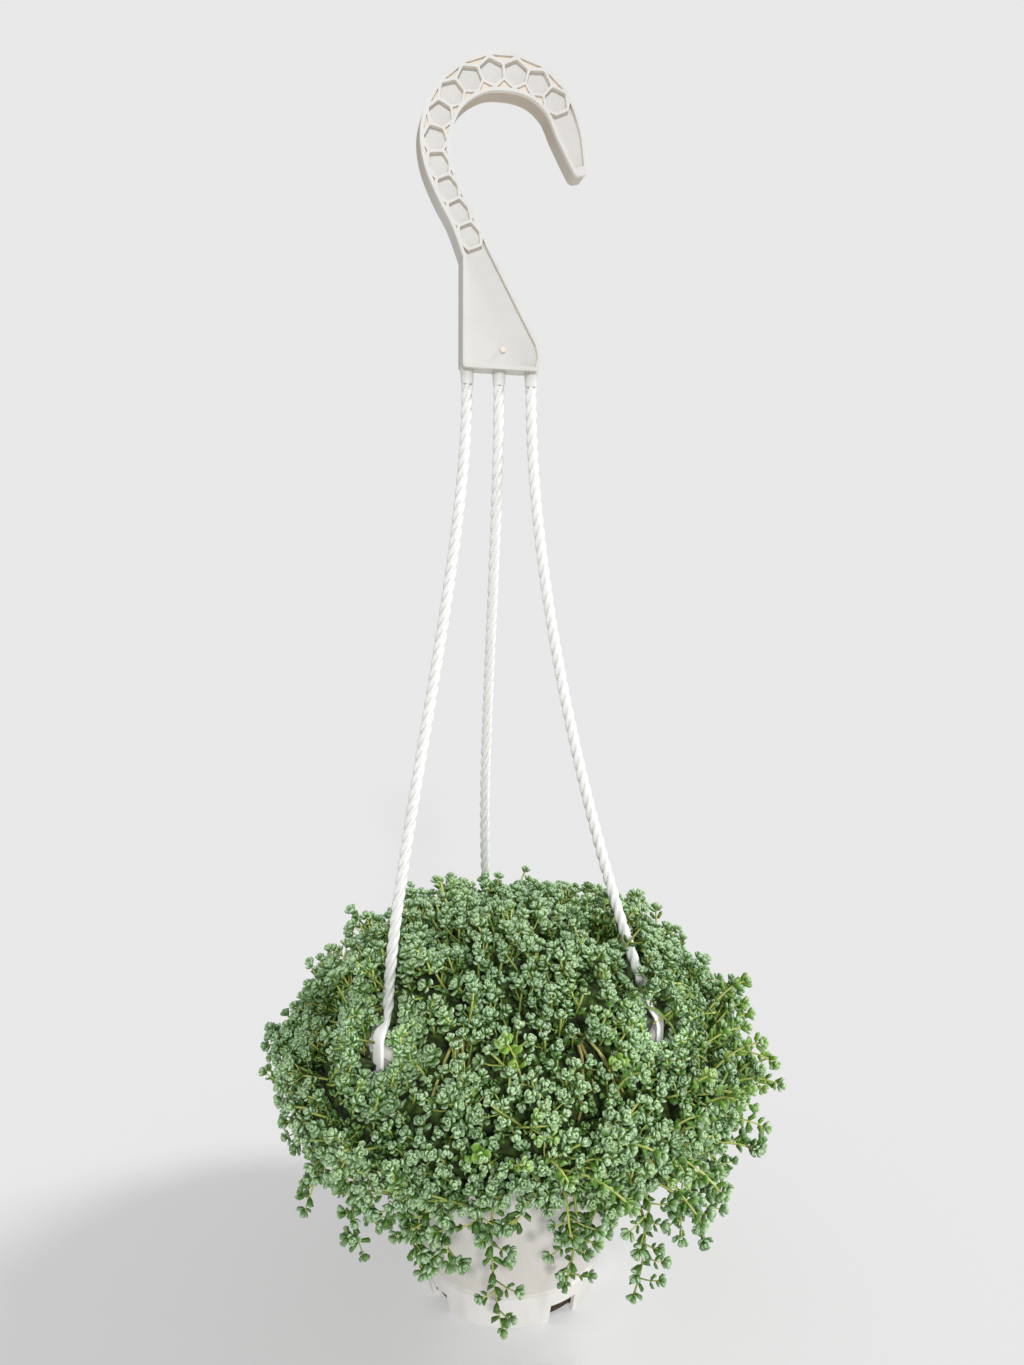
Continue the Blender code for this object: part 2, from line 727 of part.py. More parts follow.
def settle_owners(spots, valleys):
    """Gives a spot that hardly touches its own sprig to the one that it touches most."""
    for _ in range(2):
        for k, spot in enumerate(spots):
            if spot.owner is None:
                continue
            near = {other for key in spot.valleys for other in valleys[key][0]} - {k}
            owners = [spots[other].owner for other in sorted(near)]
            if owners.count(spot.owner) < 2:
                held = [owner for owner in owners if owner is not None]
                spot.owner = max(held, key=held.count)


def frame_on(normal, turn):
    side = normal.orthogonal().normalized()
    side.rotate(Matrix.Rotation(turn, 3, normal))
    return side, normal.cross(side)


def ring(bm, centre, side, across, radius, count):
    points = []
    for k in range(count):
        angle = 2 * math.pi * k / count
        reach = side * math.cos(angle) + across * math.sin(angle)
        points.append(bm.verts.new(centre + reach * radius))
    return points


def wound(corners, axis):
    """The corners in their order, turned so that they run anticlockwise round an axis."""
    centre = sum((corner.co for corner in corners), Vector()) / len(corners)
    area = 0.0
    for a, b in zip(corners, corners[1:] + corners[:1]):
        area += (a.co - centre).cross(b.co - centre).dot(axis)
    return corners if area > 0 else corners[::-1]


def turns(corners, axis):
    """How far each corner of a ring has turned round its middle, up to its first corner again."""
    centre = sum((corner.co for corner in corners), Vector()) / len(corners)
    side, across = frame_on(axis, 0.0)
    full = 2 * math.pi
    angles = []
    for corner in corners:
        reach = corner.co - centre
        angles.append(math.atan2(reach.dot(across), reach.dot(side)))
    run = [angles[0]]
    for angle in angles[1:]:
        run.append(run[-1] + (angle - run[-1] + math.pi) % full - math.pi)
    return run + [angles[0] + full]


def zip_rings(bm, low, high, axis):
    """Joins two rings that run anticlockwise round an axis, step by step as they turn."""
    full = 2 * math.pi
    on_low = turns(low, axis)
    start = turns(high, axis)
    apart = [(value - on_low[0] + math.pi) % full - math.pi for value in start[:-1]]
    first = min(range(len(high)), key=lambda k: abs(apart[k]))
    high = high[first:] + high[:first]
    on_high = turns(high, axis)
    shift = on_low[0] + apart[first] - on_high[0]
    i = 0
    j = 0
    while i < len(low) or j < len(high):
        here = low[i % len(low)]
        there = high[j % len(high)]
        if j == len(high) or (i < len(low) and on_low[i + 1] <= on_high[j + 1] + shift):
            i += 1
            bm.faces.new((here, low[i % len(low)], there))
        else:
            j += 1
            bm.faces.new((here, high[j % len(high)], there))


def open_edge(bm):
    """The open edge of a surface, as corners in order."""
    edges = [edge for edge in bm.edges if edge.is_boundary]
    loop = [edges[0].verts[0]]
    here = edges[0]
    while len(loop) < len(edges):
        corner = here.other_vert(loop[-1])
        loop.append(corner)
        here = next(edge for edge in corner.link_edges if edge.is_boundary and edge is not here)
    return loop


def grow_rosette(bm, foot, centre, normal, radius, turn):
    """Two pairs of leaves, spread over the foot's corners, with their tips raised."""
    side, across = frame_on(normal, turn)
    tips = ring(bm, centre + normal * TIP_RISE, side, across, radius, 4)
    apex = bm.verts.new(centre + normal * APEX_RISE)
    zip_rings(bm, foot, tips, normal)
    for k in range(4):
        bm.faces.new((tips[k - 1], tips[k], apex))


def grow_bud(bm, foot, centre, normal):
    """A closed bud: a point over the foot's corners."""
    apex = bm.verts.new(centre + normal * BUD_RISE)
    for k in range(len(foot)):
        bm.faces.new((foot[k - 1], foot[k], apex))


def grow_tube(bm, foot, path, radius, reference):
    """A stem with three sides from three corners along a path. Returns its rings."""
    rings = []
    for i, point in enumerate(path):
        along = (path[min(i + 1, len(path) - 1)] - path[max(i - 1, 0)]).normalized()
        across = along.cross(reference).normalized()
        rings.append(ring(bm, point, across.cross(along), across, radius, 3))
    nearest = min(permutations(foot), key=lambda order: sum(
        (a.co - b.co).length_squared for a, b in zip(order, rings[0])))
    tube_sides(bm, nearest, rings[0])
    return rings


def tube_sides(bm, low, high):
    return [bm.faces.new((low[k], low[(k + 1) % 3], high[(k + 1) % 3], high[k])) for k in range(3)]


def grow_leaf(bm, face, axis_point, along):
    """A plump leaf out of one side of a stem."""
    corners = list(face.verts)
    centre = face.calc_center_median()
    out = (centre - axis_point).normalized()
    across = along.cross(out)
    bm.faces.remove(face)
    belly = []
    for corner in corners:
        reach = corner.co - centre
        high = math.copysign(0.5 * LEAF_THICK, reach.dot(along))
        wide = math.copysign(0.5 * LEAF_WIDTH, reach.dot(across))
        belly.append(bm.verts.new(centre + out * (0.5 * LEAF_LENGTH) + along * high + across * wide))
    tip = bm.verts.new(centre + out * LEAF_LENGTH + along * (0.2 * LEAF_LENGTH))
    for k in range(4):
        j = (k + 1) % 4
        bm.faces.new((corners[k], corners[j], belly[j], belly[k]))
        bm.faces.new((belly[k], belly[j], tip))


def grow_shoot(bm, foot, start, azimuth, tip_radius, tip_z):
    """A trailing shoot: a stem with opposite pairs of leaves and a rosette at its tip."""
    tip = polar(tip_radius, azimuth, tip_z)
    out = polar(1.0, azimuth)
    bend = start.lerp(tip, 0.5) + out * 8.0
    stops = [0.0]
    for pair in range(SHOOT_PAIRS):
        at = 0.36 + 0.5 * pair / max(SHOOT_PAIRS - 1, 1)
        stops += [at - 0.04, at + 0.04]
    stops.append(0.97)
    first = start.lerp(bend, 0.3) + out * 9.0
    path = [bezier(start + out * 3.0, first, bend, tip, t) for t in stops]
    rings = grow_tube(bm, foot, path, SHOOT_RADIUS, polar(1.0, azimuth + 90.0))
    for i, (low, high) in enumerate(zip(rings, rings[1:])):
        sides = tube_sides(bm, low, high)
        if i % 2 == 1 and i < 2 * SHOOT_PAIRS:
            along = (path[i + 1] - path[i]).normalized()
            middle = path[i].lerp(path[i + 1], 0.5)
            for k in ((0, 1), (1, 2), (2, 0))[(i // 2) % 3]:
                grow_leaf(bm, sides[k], middle, along)
    down = (path[-1] - path[-2]).normalized()
    faced = (down + out * 0.6).normalized()
    grow_rosette(bm, wound(rings[-1], faced), tip + down * 1.5, faced, SHOOT_ROSETTE, 0.3)


def sector_shoots(band, az0, width):
    """The trailing shoots of a sprig. Over the bare sector they hang from the band above."""
    bare_from, bare_width = sector_span(LOWEST_BAND, BARE_SECTOR)
    chosen = []
    for row in SHOOTS:
        over_bare = (row[0] - bare_from) % 360.0 < bare_width
        holder = LOWEST_BAND - 1 if over_bare else LOWEST_BAND
        if band == holder and (row[0] - az0) % 360.0 < width:
            chosen.append(row)
    return chosen


def shoot_holders(own, shoots, arc0):
    """Which spot each shoot grows from: the nearest one in the lower half of its sprig."""
    holders = {}
    for row in shoots:
        low = [spot for spot in own if spot.arc > arc0 + 0.5 * BAND_ARC and id(spot) not in holders]
        nearest = min(low, key=lambda spot: abs((spot.azimuth - row[0] + 180.0) % 360.0 - 180.0)
                      - 0.3 * spot.arc)
        holders[id(nearest)] = row
    return holders


def build_sprig(band, sector, spots, valleys, green):
    """One bunch: a stem out of the soil that opens into a close cover of rosettes."""
    az0, width = sector_span(band, sector)
    arc0 = BAND_ARC * band
    own = [spot for spot in spots if spot.owner == (band, sector)]
    holders = shoot_holders(own, sector_shoots(band, az0, width), arc0)
    bm = bmesh.new()
    corners = {}
    for spot in own:
        for key in spot.valleys:
            if key not in corners:
                corners[key] = bm.verts.new(own_side(valleys[key], spots, (band, sector)))
    for spot in own:
        around = [corners[key] for key in spot.valleys]
        around.sort(key=lambda corner: angle_on(spot, corner))
        tilt = Vector((rng.uniform(-TILT, TILT), rng.uniform(-TILT, TILT), rng.uniform(-TILT, TILT)))
        faced = (spot.normal + tilt).normalized()
        centre = spot.point + spot.normal * rng.uniform(*SPOT_LIFT)
        if id(spot) in holders:
            side, across = frame_on(spot.normal, 0.0)
            foot = ring(bm, spot.point, side, across, SHOOT_FOOT, 3)
            zip_rings(bm, around, foot, spot.normal)
            grow_shoot(bm, foot, spot.point, *holders[id(spot)])
        elif rng.random() < BUD_SHARE:
            grow_bud(bm, around, centre, faced)
        else:
            grow_rosette(bm, around, centre, faced, spot.room - TIP_GAP, rng.uniform(0.0, math.pi))
    az_mid = az0 + width / 2
    axis = mound_normal(arc0 + 0.5 * BAND_ARC, az_mid)
    heart = mound_point(arc0 + 0.5 * BAND_ARC, az_mid) - axis * HEART_DEPTH
    side, across = frame_on(axis, 0.5)
    rim = wound(open_edge(bm), axis)
    foot = ring(bm, heart, side, across, STEM_FOOT, 3)
    zip_rings(bm, rim, foot, axis)
    root = grow_stem(bm, foot, band, az_mid, heart - axis * 3.0)
    object_from(bm, f"sprig_{band + 1}_{sector + 1}", green)
    return root


def own_side(valley, spots, owner):
    """A valley's place, drawn in towards the sprig's own spots where others share it."""
    trio, point, normal = valley
    mine = [spots[k].point for k in trio if spots[k].owner == owner]
    if len(mine) == 3:
        return point
    towards = sum(mine, Vector()) / len(mine) - point
    towards -= normal * towards.dot(normal)
    return point + towards.normalized() * (BORDER_PULL if len(mine) == 2 else TOOTH_PULL)


def angle_on(spot, corner):
    side, across = frame_on(spot.normal, 0.0)
    reach = corner.co - spot.point
    return math.atan2(reach.dot(across), reach.dot(side))


def grow_stem(bm, foot, band, azimuth, heart):
    """The sprig's stem, from its heart down to its root in the soil."""
    root_radius, first, second, swing = BANDS[band][2:]
    root = polar(root_radius, azimuth + swing)
    ground = soil_height(root)
    lower = polar(first[0], azimuth + swing, first[1])
    upper = polar(second[0], azimuth + swing, second[1])
    surface = Vector((root.x, root.y, ground + 1.0))
    path = [bezier(heart, upper, lower, surface, t / 5) for t in range(6)]
    path.append(Vector((root.x, root.y, ground - ROOT_DEPTH)))
    rings = grow_tube(bm, foot, path, STEM_RADIUS, polar(1.0, azimuth + 90.0))
    for low, high in zip(rings, rings[1:]):
        tube_sides(bm, low, high)
    bm.faces.new(rings[-1])
    return root


def build_foliage(green):
    spots = place_spots()
    valleys = find_valleys(spots)
    settle_owners(spots, valleys)
    roots = []
    for band, row in enumerate(BANDS):
        for sector in range(row[0]):
            if (band, sector) != (LOWEST_BAND, BARE_SECTOR):
                roots.append(build_sprig(band, sector, spots, valleys, green))
    return roots


def main():
    clear_scene()
    white = material("white_plastic", WHITE, 0.42)
    green = material("sedum_leaf", LEAF, 0.6)
    earth = material("potting_soil", EARTH, 0.95)
    build_pot(white)
    build_hook(white)
    for index in range(3):
        build_leg(index, white)
    roots = build_foliage(green)
    build_soil(earth, roots)


main()
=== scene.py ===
import math
import random

import bpy
from mathutils import Matrix, Vector
from mathutils.kdtree import KDTree


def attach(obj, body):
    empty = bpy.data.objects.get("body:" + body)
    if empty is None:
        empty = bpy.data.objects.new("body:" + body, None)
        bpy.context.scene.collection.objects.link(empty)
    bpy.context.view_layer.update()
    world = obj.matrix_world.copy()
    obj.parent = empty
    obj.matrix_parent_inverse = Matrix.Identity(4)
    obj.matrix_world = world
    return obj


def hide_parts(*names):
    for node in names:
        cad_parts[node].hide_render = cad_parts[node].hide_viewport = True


# Potted sedum in a hanging pot. Sizes are in millimetres here; a mesh is made in metres.

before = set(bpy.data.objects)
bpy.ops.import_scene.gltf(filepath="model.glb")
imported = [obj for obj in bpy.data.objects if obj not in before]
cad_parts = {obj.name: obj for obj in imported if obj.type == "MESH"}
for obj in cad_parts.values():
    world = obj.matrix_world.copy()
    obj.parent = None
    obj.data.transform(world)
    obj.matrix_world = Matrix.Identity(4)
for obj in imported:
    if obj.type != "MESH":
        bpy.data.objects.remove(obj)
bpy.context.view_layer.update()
rng = random.Random(11)
mm = 0.001
print("frame loaded")


# camera and small helpers

cameraSettings = {"at": (-123.6, -499.9, 346.0), "tilt": 86.0, "turn": -14.0, "lens": 27.03}
eye = Vector(cameraSettings["at"])
upwards = Vector((0.0, 0.0, 1.0))


def addCamera():
    s = cameraSettings
    bpy.ops.object.camera_add(location=eye * mm,
                              rotation=(math.radians(s["tilt"]), 0.0, math.radians(s["turn"])))
    camera = bpy.context.object
    camera.data.lens = s["lens"]
    camera.data.sensor_width = 36.0
    camera.data.clip_start = 0.01
    bpy.context.scene.camera = camera


def pickOnly(*items):
    bpy.ops.object.select_all(action="DESELECT")
    for item in items:
        item.select_set(True)
    bpy.context.view_layer.objects.active = items[0]


def joinAll(items, name):
    pickOnly(*items)
    if len(items) > 1:
        bpy.ops.object.join()
    items[0].name = name
    items[0].data.name = name
    return items[0]


def settle(item):
    # puts the object's place, turn and size into its mesh
    pickOnly(item)
    bpy.ops.object.transform_apply(location=True, rotation=True, scale=True)
    return item


def applyModifier(item, kind, **values):
    pickOnly(item)
    modifier = item.modifiers.new(kind.lower(), kind)
    for key, value in values.items():
        setattr(modifier, key, value)
    bpy.ops.object.modifier_apply(modifier=modifier.name)


def startEdit(item):
    pickOnly(item)
    bpy.ops.object.mode_set(mode="EDIT")
    bpy.ops.mesh.select_all(action="SELECT")


def endEdit():
    # every face turned outwards, then back to object mode
    bpy.ops.mesh.select_all(action="SELECT")
    bpy.ops.mesh.normals_make_consistent(inside=False)
    bpy.ops.object.mode_set(mode="OBJECT")


def addDisc(corners, radius, fill, z=0.0):
    bpy.ops.object.select_all(action="DESELECT")
    bpy.ops.mesh.primitive_circle_add(vertices=corners, radius=radius, fill_type=fill, location=(0.0, 0.0, z))
    return bpy.context.object


def smoothByAngle(item, angle):
    pickOnly(item)
    bpy.ops.object.shade_smooth_by_angle(angle=math.radians(angle))


def smoothAll(item):
    for polygon in item.data.polygons:
        polygon.use_smooth = True


def polar(radius, azimuth, z=0.0):
    angle = math.radians(azimuth)
    return Vector((radius * math.cos(angle), radius * math.sin(angle), z))


def bezier(start, first, second, end, t):
    u = 1.0 - t
    return start * u ** 3 + first * (3 * u * u * t) + second * (3 * u * t * t) + end * t ** 3


def finishPiece(item, material, node):
    item.data.materials.clear()
    item.data.materials.append(material)
    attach(item, "root")
    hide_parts(node)


# materials: a class that adds and links the nodes of one, then the finishes

class Nodes:
    def __init__(self, name):
        self.material = bpy.data.materials.new(name)
        self.material.use_nodes = True
        self.tree = self.material.node_tree
        self.shader = self.tree.nodes["Principled BSDF"]

    def fixed(self, values):
        for name, value in values.items():
            self.shader.inputs[name].default_value = value

    def add(self, kind, inputs=None, **values):
        node = self.tree.nodes.new(kind)
        for key, value in values.items():
            setattr(node, key, value)
        for key, value in (inputs or {}).items():
            if isinstance(value, bpy.types.NodeSocket):
                self.tree.links.new(value, node.inputs[key])
            else:
                node.inputs[key].default_value = value
        return node

    def objectPlace(self):
        return self.add("ShaderNodeTexCoord").outputs["Object"]

    def noise(self, scale, detail=3.0, roughness=0.55):
        return self.add("ShaderNodeTexNoise", {"Vector": self.objectPlace(), "Scale": scale,
                                               "Detail": detail, "Roughness": roughness}).outputs["Fac"]

    def ramp(self, factor, *stops):
        node = self.add("ShaderNodeValToRGB", {"Fac": factor})
        elements = node.color_ramp.elements
        while len(elements) < len(stops):
            elements.new(0.5)
        for element, (place, colour) in zip(elements, stops):
            element.position = place
            element.color = (*colour, 1.0)
        return node.outputs["Color"]

    def attribute(self, name):
        return self.add("ShaderNodeAttribute", attribute_name=name).outputs["Fac"]

    def mix(self, factor, first, second):
        first, second = ((*value, 1.0) if isinstance(value, tuple) else value for value in (first, second))
        return self.add("ShaderNodeMix", {0: factor, 6: first, 7: second}, data_type="RGBA").outputs[2]

    def times(self, first, second):
        return self.add("ShaderNodeMath", {0: first, 1: second}, operation="MULTIPLY").outputs[0]

    def spread(self, value, low, high, newLow=0.0, newHigh=1.0):
        return self.add("ShaderNodeMapRange", {"Value": value, "From Min": low, "From Max": high,
                                               "To Min": newLow, "To Max": newHigh}).outputs["Result"]

    def bump(self, height, strength, distance):
        node = self.add("ShaderNodeBump", {"Height": height, "Strength": strength, "Distance": distance})
        self.tree.links.new(node.outputs["Normal"], self.shader.inputs["Normal"])

    def colour(self, socket):
        self.tree.links.new(socket, self.shader.inputs["Base Color"])

    def rough(self, socket):
        self.tree.links.new(socket, self.shader.inputs["Roughness"])


def hangerPlastic():
    n = Nodes("hanger_white_plastic")
    place = n.add("ShaderNodeSeparateXYZ", {0: n.objectPlace()})
    y, z = place.outputs["Y"], place.outputs["Z"]
    inHook = n.spread(z, 0.455, 0.462)
    # between the front face and the web, then between the web and the back face: the pocket walls, painted
    # tan as shade
    pocketWallShade = n.times(n.spread(y, -0.0059, -0.0056), n.spread(y, -0.00365, -0.0039))
    # painted shade on the hook's outer sides: tan, and darkest near the top, under the arch
    outerSideShade = n.times(n.spread(y, -0.0035, -0.0033), n.spread(y, 0.0059, 0.0054))
    outerSideShade = n.times(outerSideShade, n.attribute("outside"))
    high = n.spread(z, 0.53, 0.59)
    legWhite = n.ramp(n.noise(60.0, 4.0), (0.3, (0.80, 0.80, 0.775)), (0.7, (0.86, 0.86, 0.84)))
    # the hook is the same plastic as the legs, painted a darker white as shade over the whole hook
    hookWhite = n.ramp(n.noise(60.0, 4.0), (0.3, (0.63, 0.62, 0.60)), (0.7, (0.67, 0.66, 0.64)))
    hook = n.mix(outerSideShade, hookWhite, n.mix(high, (0.62, 0.61, 0.56), (0.52, 0.44, 0.34)))
    hook = n.mix(pocketWallShade, hook, (0.78, 0.71, 0.61))
    n.colour(n.mix(inHook, legWhite, hook))
    n.rough(n.spread(n.noise(220.0), 0.3, 0.7, 0.34, 0.46))
    n.bump(n.noise(300.0, 2.0), 0.04, 0.0002)
    n.fixed({"Subsurface Weight": 0.15, "Subsurface Radius": (1.0, 0.9, 0.75), "Subsurface Scale": 0.0015})
    return n.material


def potPlastic():
    n = Nodes("pot_white_plastic")
    height = n.add("ShaderNodeSeparateXYZ", {0: n.objectPlace()}).outputs["Z"]
    band = n.spread(height, 0.0172, 0.0186)
    cloudy = n.ramp(n.noise(26.0, 5.0), (0.3, (0.0, 0.0, 0.0)), (0.75, (1.0, 1.0, 1.0)))
    # one plastic: the bowl is painted darker as shade under the leaves and the overhang, and the foot band
    # lighter as painted light
    bowl = n.mix(cloudy, (0.60, 0.575, 0.53), (0.67, 0.65, 0.61))
    foot = n.mix(cloudy, (0.74, 0.72, 0.69), (0.80, 0.785, 0.76))
    streak = n.add("ShaderNodeTexNoise", {"Scale": 9.0, "Detail": 4.0, "Vector": n.add(
        "ShaderNodeMapping", {"Vector": n.objectPlace(), "Scale": (9.0, 9.0, 1.2)}).outputs[0]})
    dust = n.spread(streak.outputs["Fac"], 0.52, 0.8, 0.0, 0.35)
    n.colour(n.mix(dust, n.mix(band, foot, bowl), (0.50, 0.45, 0.37)))
    n.rough(n.spread(n.noise(150.0), 0.3, 0.7, 0.42, 0.56))
    n.bump(n.noise(500.0, 3.0), 0.12, 0.0005)
    return n.material


def leafSkin():
    n = Nodes("sedum_leaf")
    tone = n.attribute("tone")
    rim = n.attribute("rim")
    inner = n.attribute("inner")
    body = n.ramp(tone, (0.0, (0.036, 0.10, 0.007)), (0.3, (0.065, 0.18, 0.012)),
                  (0.7, (0.11, 0.26, 0.028)), (0.88, (0.19, 0.37, 0.03)), (1.0, (0.29, 0.48, 0.035)))
    young = n.mix(n.times(inner, 0.45), body, (0.25, 0.46, 0.09))
    # pale bloom at the leaf tips and edges, made paler than the bloom alone as a painted highlight
    speckle = n.spread(n.noise(1400.0, 2.0), 0.35, 0.7, 0.6, 1.0)
    bloomAndHighlight = n.times(n.times(n.spread(rim, 0.12, 0.9, 0.0, 0.92), speckle),
                   n.times(n.spread(tone, 0.0, 0.3, 0.3, 1.0), n.spread(tone, 0.6, 0.95, 1.0, 0.6)))
    pale = n.mix(tone, (0.54, 0.77, 0.58), (0.84, 0.96, 0.70))
    n.colour(n.mix(bloomAndHighlight, young, pale))
    n.rough(n.spread(rim, 0.0, 1.0, 0.34, 0.50))
    n.bump(n.noise(2500.0, 2.0), 0.15, 0.0002)
    n.fixed({"Subsurface Weight": 0.08, "Subsurface Radius": (0.0008, 0.0014, 0.0005)})
    return n.material


def stemSkin():
    n = Nodes("sedum_stem")
    tone = n.attribute("tone")
    fresh = n.ramp(tone, (0.0, (0.16, 0.25, 0.04)), (0.5, (0.42, 0.50, 0.11)), (1.0, (0.62, 0.64, 0.19)))
    aged = n.mix(n.noise(300.0, 3.0), (0.20, 0.13, 0.04), (0.42, 0.30, 0.12))
    n.colour(n.mix(n.times(n.attribute("rim"), 0.85), fresh, aged))
    n.rough(n.spread(n.noise(500.0), 0.3, 0.7, 0.5, 0.7))
    n.bump(n.noise(1500.0, 2.0), 0.2, 0.0003)
    return n.material


def understoreyShadeSkin():
    n = Nodes("sedum_understorey_shade")
    # dark green cells that darken to near black at their edges: painted shade of the deep foliage
    cells = n.add("ShaderNodeTexVoronoi", {"Vector": n.objectPlace(), "Scale": 190.0})
    n.colour(n.ramp(cells.outputs["Distance"], (0.1, (0.075, 0.14, 0.012)), (0.45, (0.04, 0.075, 0.008)),
                    (0.8, (0.018, 0.024, 0.005))))
    n.fixed({"Roughness": 0.85})
    n.bump(cells.outputs["Distance"], 1.0, -0.004)
    return n.material


def soilGrain():
    n = Nodes("potting_soil")
    grain = n.noise(700.0, 6.0, 0.7)
    n.colour(n.ramp(grain, (0.3, (0.028, 0.016, 0.009)), (0.55, (0.085, 0.05, 0.027)),
                    (0.8, (0.21, 0.14, 0.085))))
    n.fixed({"Roughness": 0.95})
    n.bump(grain, 0.9, 0.002)
    return n.material


# pot: a disc raised wall by wall, over the lip and down inside

potSettings = {"footRadius": 43.0, "bandTopRadius": 46.2, "bandHeight": 17.0, "bowlFoot": 44.8,
               "bowlRim": 74.6, "bowlCurve": 0.26, "height": 142.0, "lipRadius": 77.0, "lipHeight": 5.0,
               "wall": 1.6, "floor": 1.8, "sides": 128, "bowlSteps": 14, "notchWidth": 15.0,
               "notchHeight": 9.5, "notchTurn": 22.0, "slotLow": 125.4, "slotHigh": 128.2, "slotHalf": 3.4,
               "clipAzimuths": (204.5, 84.5, 324.5)}


def bowlRadius(z):
    p = potSettings
    s, curve = (z - p["bandHeight"]) / (p["height"] - p["lipHeight"] - p["bandHeight"]), p["bowlCurve"]
    return p["bowlFoot"] + (p["bowlRim"] - p["bowlFoot"]) * ((1.0 + curve) * s - curve * s * s)


def raiseWalls(rows, sides):
    # a round shell from a disc: each row of radius and height is one extrusion of its edge
    radius, z = rows[0]
    shell = settle(addDisc(sides, radius * mm, "TRIFAN", z * mm))
    startEdit(shell)
    bpy.ops.mesh.region_to_loop()
    for newRadius, newZ in rows[1:]:
        bpy.ops.mesh.extrude_edges_move()
        bpy.ops.transform.translate(value=(0.0, 0.0, (newZ - z) * mm))
        share = newRadius / radius
        bpy.ops.transform.resize(value=(share, share, 1.0), center_override=(0.0, 0.0, newZ * mm))
        radius, z = newRadius, newZ
    bpy.ops.mesh.edge_face_add()
    endEdit()
    return shell


def cutterBlock(size, centre, azimuth):
    place = Matrix.Rotation(math.radians(azimuth), 4, "Z") @ Matrix.Translation(Vector(centre) * mm)
    bpy.ops.object.select_all(action="DESELECT")
    bpy.ops.mesh.primitive_cube_add(size=1.0)
    block = bpy.context.object
    block.matrix_world = place @ Matrix.Diagonal((*(Vector(size) * mm), 1.0))
    return settle(block)


def cutAway(item, cutters):
    cutter = joinAll(cutters, "cutters")
    applyModifier(item, "BOOLEAN", operation="DIFFERENCE", solver="EXACT", object=cutter)
    bpy.data.objects.remove(cutter, do_unlink=True)


def makePot(material):
    p = potSettings
    foot, band, bandTop = p["footRadius"], p["bandTopRadius"], p["bandHeight"]
    lip, rim, wall = p["lipRadius"], p["bowlRim"], p["wall"]
    high, top, floor = p["height"], p["height"] - p["lipHeight"], p["floor"]
    heights = [bandTop + 0.9 + (top - bandTop - 0.9) * i / p["bowlSteps"] for i in range(p["bowlSteps"] + 1)]
    rows = [(foot - 2.2, 0.0), (foot - 0.6, 0.0), (foot - 0.1, 0.4), (foot, 1.1), (band - 0.1, bandTop - 1.3),
            (band, bandTop - 0.7), (band - 0.4, bandTop - 0.15), (p["bowlFoot"] + 0.2, bandTop + 0.2)]
    rows += [(bowlRadius(z), z) for z in heights]
    rows += [(lip - 0.5, top + 0.2), (lip, top + 0.7), (lip, high - 1.6), (lip - 0.35, high - 0.6),
             (lip - 1.1, high - 0.1), (lip - 1.8, high), (rim - 0.7, high - 0.1), (rim - wall, high - 0.9)]
    rows += [(bowlRadius(z) - wall, z) for z in heights[::-1]]
    rows += [(foot - wall, floor + 1.4), (foot - wall - 1.4, floor), (2.0, floor)]
    pot = raiseWalls(rows, p["sides"])
    notch = (14.0, p["notchWidth"], 2 * p["notchHeight"])
    slotMiddle = (p["slotLow"] + p["slotHigh"]) / 2
    cutters = [cutterBlock(notch, (foot, 0.0, 0.0), p["notchTurn"] + 90.0 * i) for i in range(4)]
    cutters += [cutterBlock((8.0, 2 * p["slotHalf"], p["slotHigh"] - p["slotLow"]),
                            (bowlRadius(p["slotLow"]) - wall / 2, 0.0, slotMiddle), azimuth)
                for azimuth in p["clipAzimuths"]]
    cutAway(pot, cutters)
    pot.name = "pot_shell"
    smoothByAngle(pot, 34)
    finishPiece(pot, material, "pot")
    print("pot")


# soil: a plug in the pot with a rough crown

soilSettings = {"edgeZ": 121.0, "crownZ": 126.0, "shoulderZ": 124.2, "shoulderRadius": 44.0, "gap": 0.5,
                "sides": 96, "rings": 14, "roughness": 1.3}


def soilHeight(point):
    s = soilSettings
    radius = math.hypot(point.x, point.y)
    if radius < s["shoulderRadius"]:
        return s["crownZ"] + (s["shoulderZ"] - s["crownZ"]) * radius / s["shoulderRadius"]
    width = bowlRadius(s["edgeZ"]) - potSettings["wall"] - s["gap"] - s["shoulderRadius"]
    return s["shoulderZ"] + (s["edgeZ"] - s["shoulderZ"]) * (radius - s["shoulderRadius"]) / width


def makeSoil(material):
    s, p = soilSettings, potSettings
    inset = p["wall"] + s["gap"]
    low = p["floor"] + 0.3
    heights = [p["bandHeight"] + 0.8 + (s["edgeZ"] - p["bandHeight"] - 0.8) * i / 12 for i in range(13)]
    rows = [(p["footRadius"] - inset - 1.4, low)] + [(bowlRadius(z) - inset, z) for z in heights]
    edge = rows[-1][0]
    for i in range(1, s["rings"]):
        radius = edge * (1.0 - i / s["rings"])
        rows.append((radius, soilHeight(Vector((radius, 0.0)))))
    soil = raiseWalls(rows, s["sides"])
    grain = random.Random(3)
    for vertex in soil.data.vertices:
        if vertex.co.z > (s["edgeZ"] + 0.2) * mm:
            vertex.co.z += grain.uniform(-s["roughness"], 0.3) * mm
    soil.name = "soil_plug"
    smoothByAngle(soil, 60)
    finishPiece(soil, material, "soil")
    print("soil")


# hook: an outline raised to its depth, with honeycomb pockets on both faces
# stations: X, Z and half the width of the arm, from the tip to the plate

